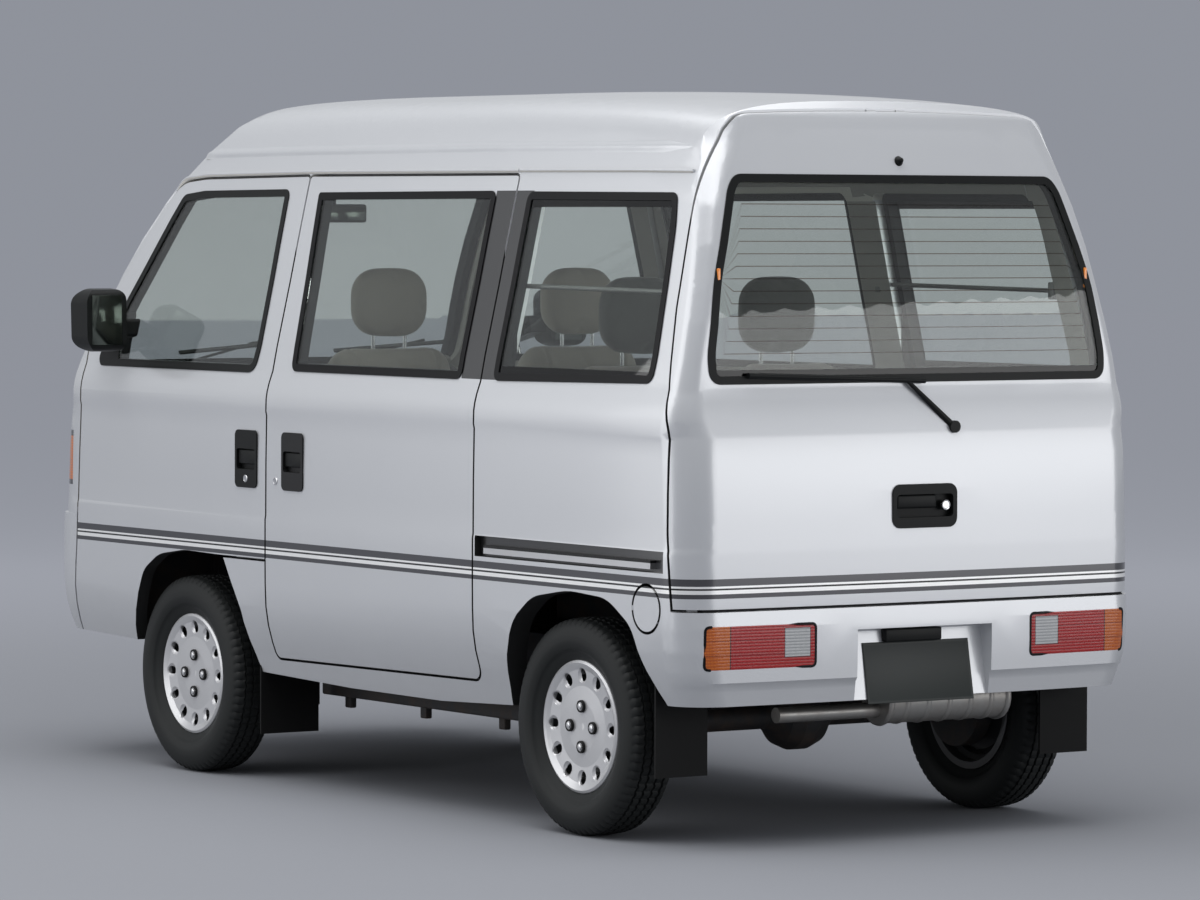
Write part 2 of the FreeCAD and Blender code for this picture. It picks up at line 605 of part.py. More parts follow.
ARM_END = -78.0
STRUT_END = 128.0
arm = box(RAIL_OUT, KINGPIN_X + 8, FRONT_AXLE_Y - 20, FRONT_AXLE_Y + 20, 170, 188)
arm = arm.fuse(box(RAIL_OUT - 30, RAIL_OUT, FRONT_AXLE_Y - 60, FRONT_AXLE_Y + 60, 170, 330))
arm = arm.fuse(king(ARM_END - 20, ARM_END, 18))
strut = king(STRUT_END, 420, 18).fuse(king(STRUT_END + 110, 420, 34))
strut = strut.common(box(0, 700, -900, -700, 0, SEAT_BASE_Z - FLOOR))
spring_points = [
    (700, 330, 0), (700, 318, 0), (REAR_AXLE_Y, 268, 900), (1504, 408, 0),
    (1504, RAIL_REAR_Z, 0), (1490, RAIL_REAR_Z, 0), (REAR_AXLE_Y, 282, 900), (716, 330, 0)]
spring = prism(spring_points, "x", RAIL_IN, RAIL_OUT)
half_axle = [
    (22, 88), (56, 74), (80, 48), (98, 32), (505, 32), (505, 105), (550, 105), (550, SPINDLE),
    (606, SPINDLE), (606, 0)]
beam = lathe([(-a, r) for a, r in half_axle[::-1]] + half_axle, 0, REAR_AXLE_Y, TYRE_RADIUS)
beam = beam.fuse([spring, mirrored(spring)])
save("suspension", both(arm) + both(strut) + [beam])
print("suspension", len(beam.Solids))

engine = box(-RAIL_IN, RAIL_IN, 400, 860, 262, 560)
save("engine", engine)
tank = prism([(-340, 440, 20), (-340, 236, 40), (200, 236, 40), (200, 440, 20)], "x",
             -RAIL_IN, RAIL_IN)
save("fuel_tank", tank)

muffler = tube(-360, 1470, 329, 56, 378, X_AXIS)
muffler = muffler.fuse(tube(10, 1470, 308, 19, 312, X_AXIS))
muffler = muffler.fuse(box(-125, -95, 1454, 1486, 380, LOAD_FLOOR_Z - FLOOR))
muffler = muffler.fuse(tube(-200, 1470, 345, 19, 1470 - 860, V(0, -1, 0)))
save("exhaust", muffler)

flap = box(512, 664, 1446, 1452, 170, 480).cut(side)
front_flap = box(470, 650, -434, -428, 130, 420).cut(side)
save("mud_flaps", both(flap) + both(front_flap))
print("flaps", len(flap.Solids), len(front_flap.Solids))


RIM_PROFILE = [
    (40, 0), (41, 60), (39, 100), (42, 140), (47, 150), (50, 157), (47, 163), (41, RIM_RADIUS),
    (38, RIM_RADIUS), (38, 152), (20, 150), (14, 136), (-14, 136), (-20, 150), (-44, 152),
    (-46, RIM_RADIUS), (-51, RIM_RADIUS), (-51, 148), (-44, 146), (-24, 144), (-18, 130),
    (6, 130), (-12, 116), (-22, 60), (-22, HUB_BORE), (-14, HUB_BORE), (-14, 60), (-4, 114),
    (16, 130), (20, 144), (35, 146), (36, 138), (34, 100), (36, 60), (35, 0)]
TYRE_PROFILE = [
    (38, 152), (38, RIM_RADIUS), (46, 172), (62, 190), (TYRE_HALF, 214), (69, 236), (60, 256),
    (51, 265), (30, TYRE_RADIUS), (-30, TYRE_RADIUS), (-51, 265), (-60, 256), (-69, 236),
    (-TYRE_HALF, 214), (-62, 190), (-51, 172), (-46, RIM_RADIUS), (-44, 152), (-36, 152),
    (-52, 190), (-61, 214), (-56, 240), (-42, 252), (42, 252), (56, 240), (61, 214), (52, 190),
    (30, 152)]


def wheel_at(y):
    x, z = TRACK_HALF, TYRE_RADIUS
    wheel = lathe(RIM_PROFILE, x, y, z)
    cutters = []
    for i in range(VENT_COUNT):
        a = 2 * math.pi * i / VENT_COUNT
        slot = tube(x + 28, y, z + 119, 8, 40, X_AXIS)
        slot = slot.fuse(tube(x + 28, y, z + 133, 11, 40, X_AXIS))
        dish = Part.makeSphere(26, V(x + 59, y, z + 124))
        slot = slot.fuse(dish)
        slot.rotate(V(x, y, z), X_AXIS, math.degrees(a))
        cutters.append(slot)
    wheel = wheel.cut(cutters)
    bosses = []
    for i in range(NUT_COUNT):
        a = 2 * math.pi * i / NUT_COUNT
        bosses.append(tube(x + 37, y + NUT_CIRCLE * math.sin(a), z + NUT_CIRCLE * math.cos(a),
                           12, 10, X_AXIS))
    return wheel.fuse(bosses)


def tyre_at(y):
    return lathe(TYRE_PROFILE, TRACK_HALF, y, TYRE_RADIUS)


wheel = wheel_at(FRONT_AXLE_Y)
tyre = tyre_at(FRONT_AXLE_Y)
for place, y in (("front", 0), ("rear", WHEELBASE)):
    for piece, shape in (("wheel", wheel), ("tyre", tyre)):
        moved = shape.translated(V(0, y, 0))
        save(piece + "_" + place + "_left", moved)
        save(piece + "_" + place + "_right", mirrored(moved))
print("wheels", len(wheel.Solids), len(tyre.Solids))

# Steered knuckles between the arm and the strut
knuckle = king(ARM_END + RUN_GAP, STRUT_END - RUN_GAP, 18)
knuckle = knuckle.fuse(tube(KINGPIN_X - 22, FRONT_AXLE_Y, TYRE_RADIUS, 50, 56, X_AXIS))
knuckle = knuckle.fuse(tube(KINGPIN_X + 10, FRONT_AXLE_Y, TYRE_RADIUS, SPINDLE, 62, X_AXIS))
save("knuckle_left", knuckle)
save("knuckle_right", mirrored(knuckle))

# Interior
dash_points = [
    (-1500, FOOTWELL_Z, 0), (-1500, 1000, 20), (-1440, 1075, 60), (-1250, 1062, 60),
    (-1190, 960, 60), (-1215, 780, 80), (-1330, 700, 60), (-1420, FOOTWELL_Z, 0)]
dash = prism(dash_points, "x", -640, 640).common(inner)
column = Part.makeCylinder(24, 190, V(-300, -1250, 850), V(0, 0.75, 0.62))
save("dashboard", dash.fuse(column))
print("dash", len(dash.Solids))


def seat(x0, x1, y, base, back_foot, top, rest_top, lean):
    """Cushion, leaning back and head restraint between two stations across."""
    mid = (x0 + x1) / 2
    cushion = prism([(y, base, 12), (y, base + 105, 45), (back_foot, base + 85, 12),
                     (back_foot, base, 0)], "x", x0, x1)
    reach = lean * (top - base) / 600.0
    back = prism([(back_foot, base, 0), (back_foot, base + 90, 0),
                  (back_foot + reach, top, 40), (back_foot + reach + 85, top, 35),
                  (back_foot + 115, base, 30)], "x", x0 + 8, x1 - 8)
    post_y = back_foot + reach + 40
    rest = prism([(post_y - 40, top + 8, 25), (post_y - 28, rest_top, 35),
                  (post_y + 32, rest_top, 35), (post_y + 38, top + 8, 25)], "x",
                 mid - 122, mid + 122)
    posts = [tube(mid + s * 50, post_y, top - 20, 7, 60, Z_AXIS) for s in (-1, 1)]
    return cushion.fuse([back, rest] + posts)


front_seat = seat(85, 525, -900, SEAT_BASE_Z, -470, 1190, 1375, 110)
save("front_seats", both(front_seat))
rear_seat = seat(48, 452, 190, LOAD_FLOOR_Z, 600, 1165, 1362, 95)
save("rear_seats", both(rear_seat))
print("seats", len(front_seat.Solids), len(rear_seat.Solids))

wheel_dir = V(0, 0.75, 0.62)
wheel_dir.normalize()
hub_at = V(-300, -1250, 850) + wheel_dir * (190 + RUN_GAP)
rim = Part.makeTorus(182, 13, hub_at + wheel_dir * 10, wheel_dir)
hub = Part.makeCylinder(48, 32, hub_at, wheel_dir)
spokes = []
across = V(1, 0, 0)
upward = wheel_dir.cross(across)
for a in (0, 180, 250, 290):
    direction = across * math.cos(math.radians(a)) + upward * math.sin(math.radians(a))
    spokes.append(Part.makeCylinder(9, 178, hub_at + wheel_dir * 10, direction))
steering = rim.fuse([hub] + spokes)
save("steering_wheel", steering)
print("steering", len(steering.Solids))

# Fittings of the front doors: mirror and outside handle in one node with the rubber ring
mirror_arm = prism([(-1262, 1150, 10), (-1250, 1200, 10), (-1090, 1235, 10), (-1090, 1185, 10)],
                   "x", 600, MIRROR_IN + 16).cut(outer)
mirror_head = prism([(-1152, 1160, 38), (-1158, 1290, 42), (-1120, 1318, 30), (-1066, 1312, 22),
                     (-1060, 1146, 22), (-1110, 1142, 30)], "x", MIRROR_IN, MIRROR_OUT)
mirror_head = mirror_head.common(prism([(MIRROR_IN, 1142, 30), (MIRROR_IN, 1318, 34),
                                        (MIRROR_OUT, 1318, 44), (MIRROR_OUT, 1142, 44)],
                                       "y", -1200, -1000))
mirror_face = box(MIRROR_IN + 14, MIRROR_OUT - 14, -1064, -1050, 1160, 1300)
mirror_head = mirror_head.cut(mirror_face)
mirror_foot = rubber.common(left(MIRROR_FOOT)).common(left(FRONT_WINDOW))
door_trim = front_seal.fuse([mirror_foot, mirror_arm, mirror_head])

front_handle = pull_handle(*FRONT_HANDLE)
save("door_trim_left", [door_trim, front_handle])
save("door_trim_right", [mirrored(door_trim), mirrored(front_handle)])
save("slide_trim", both(pull_handle(*SLIDE_HANDLE)) + both(slide_rail))
print("door trim", len(door_trim.Solids))

# Tailgate fittings: rubber ring, wiper across it, cup handle
cup = prism(GATE_HANDLE, "y", 1612, 1642)
cup = cup.cut(prism([(-86, 790, 10), (-86, 846, 10), (86, 846, 10), (86, 790, 10)], "y",
                    1624, 1650))
pivot = V(-100, 1622, 1008)
elbow = V(34, 1611, 1122)
arm = Part.makeCylinder(15, 26, V(-100, 1606, 1008), V(0, 1, 0))
reach = elbow - pivot
arm = arm.fuse(Part.makeCone(9, 5, reach.Length, pivot, reach))
blade_points = [V(x, at(TAIL, 1130) - x * x / (2 * TAIL_CROWN) + 10, 1122 + x * 0.035)
                for x in (-20, 120, 260, 400, 500)]
for a, b in zip(blade_points, blade_points[1:]):
    arm = arm.fuse(Part.makeCylinder(7, (b - a).Length, a, b - a))
arm = arm.cut(tailgate)
gate_trim = gate_seal.fuse(arm)
save("tailgate_trim", [gate_trim, cup])
print("gate trim", len(gate_trim.Solids))
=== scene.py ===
import math

import bmesh
import bpy
from mathutils import Matrix, Vector
from mathutils.bvhtree import BVHTree


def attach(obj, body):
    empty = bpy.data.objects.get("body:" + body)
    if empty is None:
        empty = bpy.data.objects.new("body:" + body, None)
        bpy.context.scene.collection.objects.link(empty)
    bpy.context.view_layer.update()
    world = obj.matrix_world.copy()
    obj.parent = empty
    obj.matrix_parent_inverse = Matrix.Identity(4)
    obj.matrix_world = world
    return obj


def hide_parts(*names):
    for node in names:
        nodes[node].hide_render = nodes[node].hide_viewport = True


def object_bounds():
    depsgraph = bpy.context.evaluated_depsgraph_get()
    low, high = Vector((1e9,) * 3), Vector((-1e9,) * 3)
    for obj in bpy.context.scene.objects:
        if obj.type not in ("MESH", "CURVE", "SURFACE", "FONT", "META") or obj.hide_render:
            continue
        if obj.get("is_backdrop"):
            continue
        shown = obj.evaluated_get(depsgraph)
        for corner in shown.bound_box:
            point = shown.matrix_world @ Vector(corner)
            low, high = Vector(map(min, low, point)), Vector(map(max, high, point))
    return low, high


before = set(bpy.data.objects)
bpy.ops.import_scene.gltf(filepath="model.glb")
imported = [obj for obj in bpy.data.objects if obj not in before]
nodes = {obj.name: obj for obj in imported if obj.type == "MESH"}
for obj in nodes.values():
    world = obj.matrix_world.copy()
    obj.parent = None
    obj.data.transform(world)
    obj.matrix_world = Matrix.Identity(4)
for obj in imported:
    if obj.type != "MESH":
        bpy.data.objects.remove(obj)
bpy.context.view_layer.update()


# Studio: the camera stands at the photograph's place behind the left flank, over a pale sheet that
# runs to the backdrop, with painted shade round the van, under broad soft lamps. None of it belongs
# to the van.
scene = bpy.context.scene
scene.view_settings.view_transform = "Standard"
camera = bpy.data.objects.new("photo_camera", bpy.data.cameras.new("photo_camera"))
scene.collection.objects.link(camera)
camera.data.sensor_width = 36.0
camera.data.lens = 166.64
camera.data.clip_end = 200.0
azimuth, elevation, roll = math.radians(145.92), math.radians(2.35), math.radians(0.19)
camera.matrix_world = (Matrix.Translation((8.2204, 12.3788, 1.5046))
                       @ Matrix.Rotation(azimuth, 4, "Z")
                       @ Matrix.Rotation(math.pi / 2 - elevation, 4, "X")
                       @ Matrix.Rotation(roll, 4, "Z"))
scene.camera = camera


class Value:
    """What a shader node puts out. Sums and comparisons of values add Math nodes to its tree."""

    def __init__(self, output):
        self.output = output
        self.tree = output.id_data

    def math(self, operation, *others):
        inputs = dict(enumerate((self, *others)))
        return Value(add_node(self.tree, "Math", inputs, operation=operation).outputs[0])

    def __add__(self, other):
        return self.math("ADD", other)

    def __sub__(self, other):
        return self.math("SUBTRACT", other)

    def __mul__(self, other):
        return self.math("MULTIPLY", other)

    def __lt__(self, other):
        return self.math("LESS_THAN", other)

    def __gt__(self, other):
        return self.math("GREATER_THAN", other)

    def __and__(self, other):
        return self.math("MULTIPLY", other)

    def __or__(self, other):
        return self.math("MAXIMUM", other)

    def __invert__(self):
        return self * -1.0 + 1.0

    def __abs__(self):
        return self.math("ABSOLUTE")

    def within(self, low, high):
        """1 where the value lies between two numbers, and 0 elsewhere."""
        return (self > low) & (self < high)


def feed(value, socket):
    """Gives a socket a number, a colour, or what another node puts out."""
    if isinstance(value, Value):
        socket.id_data.links.new(value.output, socket)
    elif isinstance(value, tuple):
        socket.default_value = (*value, 1.0)
    else:
        socket.default_value = value


def wire(node, **inputs):
    """Feeds a node's sockets by name, with _ for a space."""
    for name, value in inputs.items():
        feed(value, node.inputs[name.replace("_", " ")])


def add_node(tree, kind, inputs=(), **settings):
    """A shader node with its settings, and its sockets fed by name or number."""
    node = tree.nodes.new("ShaderNode" + kind)
    for setting, value in settings.items():
        setattr(node, setting, value)
    for socket, value in dict(inputs).items():
        feed(value, node.inputs[socket])
    return node


def mix(share, first, second):
    """Mix of two colours by a value."""
    return Value(add_node(share.tree, "Mix", {0: share, 6: first, 7: second},
                          data_type="RGBA").outputs[2])


def axes_of(vector):
    """X, Y and Z of a vector."""
    return [Value(axis) for axis in add_node(vector.tree, "SeparateXYZ", {0: vector}).outputs]


def coordinate(material, output="Object"):
    """A coordinate of the piece that wears the material."""
    return Value(add_node(material.node_tree, "TexCoord").outputs[output])


def new_mesh(name, bm, material=None, body="body", sharp=35.0):
    """Turns a finished bmesh into an object at the origin that rides on a body."""
    bmesh.ops.recalc_face_normals(bm, faces=bm.faces)
    mesh = bpy.data.meshes.new(name)
    bm.to_mesh(mesh)
    bm.free()
    mesh.shade_smooth()
    mesh.set_sharp_from_angle(angle=math.radians(sharp))
    piece = bpy.data.objects.new(name, mesh)
    scene.collection.objects.link(piece)
    mesh.materials.append(material)
    if body:
        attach(piece, body)
    return piece


def new_material(name, colour, roughness, metallic=0.0, coat=0.0, **sockets):
    """A material with one Principled shader, and that shader."""
    material = bpy.data.materials.new(name)
    material.use_nodes = True
    shader = material.node_tree.nodes["Principled BSDF"]
    wire(shader, Base_Color=colour, Roughness=roughness, Metallic=metallic, Coat_Weight=coat,
         **sockets)
    return material, shader


# Painted shade: the sheet is darker round the van and pales from 2 to 10 metres away from its
# middle.
SHEET_SHADED_NEAR_VAN, SHEET_FAR = (0.26, 0.268, 0.29), (0.60, 0.61, 0.66)
FADE_START, FADE_END = 2.0, 10.0
bm = bmesh.new()
bmesh.ops.create_grid(bm, x_segments=1, y_segments=1, size=60)
sheet, shader = new_material("studio_floor", SHEET_SHADED_NEAR_VAN, 0.9, Specular_IOR_Level=0.0)
reach = add_node(sheet.node_tree, "VectorMath", {0: coordinate(sheet)}, operation="LENGTH")
shade_falloff = add_node(sheet.node_tree, "MapRange", {
    "Value": Value(reach.outputs["Value"]), "From Min": FADE_START, "From Max": FADE_END},
    interpolation_type="SMOOTHSTEP")
wire(shader, Base_Color=mix(Value(shade_falloff.outputs["Result"]), SHEET_SHADED_NEAR_VAN, SHEET_FAR))
new_mesh("studio_floor", bm, sheet, body=None)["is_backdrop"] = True

world = bpy.data.worlds.new("studio")
scene.world = world
world.use_nodes = True
tree = world.node_tree
tree.nodes.clear()
sky = add_node(tree, "Background", {"Color": (0.92, 0.95, 1.0), "Strength": 0.50})
wall = add_node(tree, "Background", {"Color": (0.275, 0.290, 0.330), "Strength": 1.0})
seen = Value(add_node(tree, "LightPath").outputs["Is Camera Ray"])
either = add_node(tree, "MixShader", {0: seen, 1: Value(sky.outputs[0]),
                                      2: Value(wall.outputs[0])})
add_node(tree, "OutputWorld", {"Surface": Value(either.outputs[0])})

for name, place, aim, width, height, power in (
        ("lamp_overhead", (1.0, 0.8, 5.6), (0, 0.2, 0.8), 7.0, 7.0, 360.0),
        ("lamp_rear", (-4.6, 8.2, 1.5), (0, 1.0, 1.0), 8.0, 2.8, 135.0),
        ("lamp_left", (6.4, -2.8, 2.6), (0, 0.2, 1.0), 6.0, 5.0, 140.0)):
    lamp = bpy.data.objects.new(name, bpy.data.lights.new(name, "AREA"))
    scene.collection.objects.link(lamp)
    lamp.data.shape = "RECTANGLE"
    lamp.data.size = width
    lamp.data.size_y = height
    lamp.data.energy = power
    lamp.location = place
    lamp.rotation_mode = "QUATERNION"
    lamp.rotation_quaternion = (Vector(aim) - Vector(place)).to_track_quat("-Z", "Y")


# Body shell: pressed steel panels in silver metallic lacquer under a clear coat, with a taped
# stripe set round the flanks and the tailgate, and black tape on the pillar behind the sliding
# door. Inside, the panels carry vinyl lining on the walls and a pale headlining.
def noise(vector, scale, detail=2.0, roughness=0.5):
    return Value(add_node(vector.tree, "TexNoise", {
        "Vector": vector, "Scale": scale, "Detail": detail, "Roughness": roughness}).outputs["Fac"])


def between(share, first, second):
    """Mix of two numbers by a value, the first one a value too."""
    return (first * -1.0 + second) * share + first


def bump(shader, height, strength, distance):
    node = add_node(height.tree, "Bump", {"Strength": strength, "Distance": distance,
                                          "Height": height})
    wire(shader, Normal=Value(node.outputs[0]))


def new_group(name, inputs, outputs):
    """A node group with sockets named by kind: the group, what comes in, and its end."""
    group = bpy.data.node_groups.new(name, "ShaderNodeTree")
    for way, kinds in (("INPUT", inputs), ("OUTPUT", outputs)):
        for kind, sockets in kinds.items():
            for socket in sockets.split():
                group.interface.new_socket(socket, in_out=way, socket_type="NodeSocket" + kind)
    start = group.nodes.new("NodeGroupInput")
    values = [Value(start.outputs[socket]) for socket in " ".join(inputs.values()).split()]
    return group, values, group.nodes.new("NodeGroupOutput")


def use_group(material, group, **inputs):
    """Places a node group in a material with its own values; what the group puts out."""
    node = add_node(material.node_tree, "Group", inputs, node_tree=group)
    return [Value(output) for output in node.outputs]


def scaled(colour, factor, more=0.0):
    return tuple(min(1.0, c * factor + more) for c in colour)


SILVER = (0.57, 0.58, 0.60)
DUST = (0.36, 0.35, 0.34)
LINING = (0.27, 0.26, 0.24)
HEADLINING = (0.62, 0.60, 0.55)
CHARCOAL, WHITE, BLACK = (0.055, 0.055, 0.062), (0.90, 0.90, 0.89), (0.006, 0.006, 0.006)
STRIPES = ((0.6396, 0.6570, CHARCOAL), (0.6346, 0.6396, WHITE), (0.6302, 0.6346, BLACK),
           (0.6208, 0.6302, WHITE), (0.6100, 0.6208, CHARCOAL))
SHINE, METAL, COAT = 0.27, 0.45, 0.8

# Lacquer: aluminium flake in colour and roughness, and slow clouds in the colour.
lacquer, (place, colour, bright, scale, flaky, cloudy, shift, rough, spread), end = new_group(
    "metallic_lacquer", {"Vector": "Place", "Color": "Colour Bright",
                         "Float": "Scale Flaky Cloudy Shift Roughness Spread"},
    {"Color": "Colour", "Float": "Roughness"})
flake = noise(place, scale, 1.0)
shade = flake * flaky + noise(place, 3.0, 3.0) * cloudy + shift
wire(end, Colour=mix(shade, colour, bright), Roughness=flake * spread + rough)

# Dust: a faint film that thickens towards the sills.
dusty, (place, colour), end = new_group(
    "road_dust", {"Vector": "Place", "Color": "Colour"}, {"Color": "Colour"})
low = (axes_of(place)[2] * -1.8 + 0.95).math("MAXIMUM", 0.0)
wire(end, Colour=mix(low * noise(place, 14.0, 4.0) * 0.30, colour, DUST))

# Lining: grained vinyl on walls that face inwards above a foot, and cloth under the roof.
lining, (place, facing, colour, foot), end = new_group(
    "cabin_lining", {"Vector": "Place Facing", "Color": "Colour", "Float": "Foot"},
    {"Color": "Colour", "Float": "Cover Relief"})
(x, y, z), (nx, ny, nz) = axes_of(place), axes_of(facing)
wall = (nx * x.math("SIGN") < -0.35) & (z > foot)
tail = (ny < -0.35) & (y > 1.38) & (z > 0.60)
nose = (ny > 0.35) & (y < -1.0) & (z > 0.7)
above = (nz < -0.3) & (z > 1.45)
lined = wall | tail | nose
grain = noise(place, 420.0, 3.0)
colour = mix(lined, colour, mix(grain, LINING, scaled(LINING, 1.25)))
colour = mix(above, colour, mix(grain, HEADLINING, scaled(HEADLINING, 1.15)))
wire(end, Colour=colour, Cover=lined | above, Relief=grain * lined)

# Tape: the stripe set, off the openings' edges, the black pillar and the black rail groove.
tapes, (place, facing, colour), end = new_group(
    "tapes", {"Vector": "Place Facing", "Color": "Colour"}, {"Color": "Colour", "Float": "Black"})
(x, y, z), (nx, ny, nz) = axes_of(place), axes_of(facing)
out_x = (abs(x) - 0.5975).math("MAXIMUM", 0.0)
out_y = (y - 1.54).math("MAXIMUM", 0.0)
outside = (out_x * out_x + out_y * out_y).math("SQRT") > 0.075
for low_z, high_z, tape in STRIPES:
    colour = mix(z.within(low_z, high_z) & outside, colour, tape)
pillar = y.within(0.5985, 0.770) & z.within(1.110, 1.583) & (nx * x.math("SIGN") > 0.5)
groove = y.within(0.6975, 1.5300) & z.within(0.6672, 0.7208) & abs(x).within(0.670, 0.6942)
black = pillar | groove
wire(end, Colour=mix(black, colour, (0.010, 0.010, 0.011)), Black=black)

# Seams: painted shade, black on the return edges of doors, tail and foot where they turn into the
# gaps, and the faces inside the wheel arches black.
gap_shade_and_arch_black, (place, facing, turned_back), end = new_group(
    "shadowed_seams", {"Vector": "Place Facing", "Float": "Turned"}, {"Float": "Seam"})
(x, y, z), (nx, ny, nz) = axes_of(place), axes_of(facing)
side = abs(x)
return_edge = (abs(nx) < 0.45) & (side > 0.60) & y.within(-1.36, 1.46) & (z < 1.632)
tail_edge = turned_back & (side > 0.58) & y.within(1.40, 1.585)
foot_edge = (nz < -0.6) & (z < 0.62) & (y > 1.40)
arch = (side < 0.668) & (nx * x.math("SIGN") < 0.4) & (z < 0.66) & (
    y.within(0.74, 1.47) | y.within(-1.20, -0.40))
wire(end, Seam=return_edge | tail_edge | foot_edge | arch)


def silver_paint(kind):
    """Silver lacquer on one kind of panel.

    kind is roof, bumper, front for the panel with the grille, flank for the sides and their doors,
    or gate for the tailgate; the last two wear the tapes and black painted shade on their gap
    edges.
    """
    material, shader = new_material("silver_paint_" + kind, SILVER, 0.34, METAL, COAT,
                                    Coat_Roughness=0.09)
    place, facing = coordinate(material), coordinate(material, "Normal")
    colour, rough = use_group(
        material, lacquer, Place=place, Scale=2600.0, Colour=SILVER, Bright=(0.78, 0.79, 0.80),
        Flaky=0.30, Cloudy=0.10, Shift=-0.13, Roughness=SHINE, Spread=0.10)
    colour, = use_group(material, dusty, Place=place, Colour=colour)
    taped = kind in ("flank", "gate")
    if taped:
        colour, black = use_group(material, tapes, Place=place, Facing=facing, Colour=colour)
    if kind == "front":
        x, y, z = axes_of(place)
        slot = y.within(-1.6120, -1.58) & x.within(-0.301, 0.301) & z.within(0.79, 0.90)
        colour = mix(slot, colour, (0.008, 0.008, 0.008))
    colour, cover, relief = use_group(material, lining, Place=place, Facing=facing,
                                      Foot=0.80 if kind == "bumper" else 0.45, Colour=colour)
    metal, coat = ~cover * METAL, ~cover * COAT
    if taped:
        # Painted shade: the return edges in the gaps round doors and tailgate turn black, rough and
        # bare of lacquer, and so do the faces inside the wheel arches.
        along = axes_of(facing)[1]
        seam, = use_group(material, gap_shade_and_arch_black, Place=place, Facing=facing,
                          Turned=(along < -0.35) if kind == "gate" else (along > 0.85))
        colour = mix(seam, colour, BLACK)
        metal, coat, cover = metal & ~black & ~seam, coat & ~seam, cover | seam
    wire(shader, Base_Color=colour, Roughness=between(cover, rough, 0.75), Metallic=metal,
         Coat_Weight=coat)
    bump(shader, relief, 0.3, 0.0004)
    return material


def shade_together(*names):
    """Shades solids smoothly across the borders of their patches, up to 30 degrees."""
    limit = math.cos(math.radians(30))
    for name in names:
        mesh = nodes[name].data
        keys = [tuple(round(c, 5) for c in v.co) for v in mesh.vertices]
        around = {}
        for face in mesh.polygons:
            for corner in face.vertices:
                around.setdefault(keys[corner], []).append((face.normal, face.area))
        normals = []
        for face in mesh.polygons:
            for corner in face.vertices:
                total = Vector()
                for normal, area in around[keys[corner]]:
                    if normal.dot(face.normal) > limit:
                        total += normal * area
                normals.append(total.normalized())
        mesh.shade_smooth()
        mesh.normals_split_custom_set(normals)


def dress(material, *names):
    """Gives CAD nodes their material."""
    for name in names:
        nodes[name].data.materials.clear()
        nodes[name].data.materials.append(material)


flanks = ("side_left", "side_right", "slide_doors", "door_front_left", "door_front_right",
          "fuel_lid")
shade_together("roof", "front_panel", "tailgate", "front_bumper", "rear_bumper", *flanks,
               "windshield", "tailgate_glass", "side_glass", "door_glass_left",
               "door_glass_right", "tail_lamps", "front_lamps", "window_seals", "tailgate_trim",
               "door_trim_left", "door_trim_right")
paint = silver_paint("bumper")
dress(paint, "front_bumper", "rear_bumper")
dress(silver_paint("roof"), "roof")
dress(silver_paint("front"), "front_panel")
dress(silver_paint("gate"), "tailgate")
dress(silver_paint("flank"), *flanks)


# Skin of the body: search trees over the outer CAD panels. Trim is laid on them, so that it
# follows the crowned faces and stays seated on what carries it.
def tree_of(*names):
    corners, faces = [], []
    for name in names:
        mesh = nodes[name].data
        first = len(corners)
        corners.extend(v.co.copy() for v in mesh.vertices)
        faces.extend([first + i for i in p.vertices] for p in mesh.polygons)
    return BVHTree.FromPolygons(corners, faces)


def on_skin(skin, start, way, lift):
    """Point where a straight look meets a skin, lifted off it, and the way outwards."""
    place, normal, *_ = skin.ray_cast(Vector(start), Vector(way))
    if normal.dot(Vector(way)) > 0:
        normal = -normal
    return place + normal * lift, normal


flank_skin = tree_of("side_left", "roof", "front_panel", "slide_doors", "door_front_left",
                     "rear_bumper", "front_bumper")
tail_skin = tree_of("tailgate", "tailgate_glass", "roof", "rear_bumper", "tailgate_trim",
                    "tail_lamps", "side_left", "side_right")


def on_flank(y, z, lift=0.0):
    """Point of the left flank at a place in side view, and the way outwards."""
    return on_skin(flank_skin, (1.2, y, z), (-1, 0, 0), lift)


def on_tail(x, z, lift=0.0):
    """Point of the rear face at a place in end view, and the way outwards."""
    return on_skin(tail_skin, (x, 2.5, z), (0, -1, 0), lift)


def sweep(bm, path, section, closed=False):
    """Skins an (across, out) section along (place, outward) pairs."""
    rings = []
    count = len(path)
    for i, (place, out) in enumerate(path):
        ahead = path[(i + 1) % count][0] if closed or i + 1 < count else place
        behind = path[i - 1][0] if closed or i > 0 else place
        along = (ahead - behind).normalized()
        out = (out - along * out.dot(along)).normalized()
        across = along.cross(out)
        ring = [bm.verts.new(place + across * a + out * b) for a, b in section]
        rings.append([bm.edges.new(pair) for pair in zip(ring, ring[1:] + ring[:1])])
    for first, second in zip(rings, rings[1:] + rings[:1] if closed else rings[1:]):
        bmesh.ops.bridge_loops(bm, edges=first + second)
    if not closed:
        for end in (rings[0], rings[-1]):
            bmesh.ops.edgeloop_fill(bm, edges=end)


def spread(points, step):
    """Places at most a step apart on the runs between given (y, z) points."""
    points = [Vector((0, *point)) for point in points]
    result = [points[0]]
    for a, b in zip(points, points[1:]):
        count = max(1, math.ceil((b - a).length / step))
        result.extend(a + (b - a) * (i + 1) / count for i in range(count))
    return result


def smooth_run(points, rounds=2):
    """Rounds the corners of a run by cutting them, ends kept."""
    for _ in range(rounds):
        cut = [points[0]]
        for a, b in zip(points, points[1:]):
            cut.extend((a * 0.75 + b * 0.25, a * 0.25 + b * 0.75))
        points = cut + [points[-1]]
    return points


def mirror_x(bm):
    """Adds the mirror image on the other flank."""
    made = bmesh.ops.duplicate(bm, geom=bm.verts[:] + bm.edges[:] + bm.faces[:])
    copies = [v for v in made["geom"] if isinstance(v, bmesh.types.BMVert)]
    bmesh.ops.scale(bm, vec=(-1, 1, 1), verts=copies)


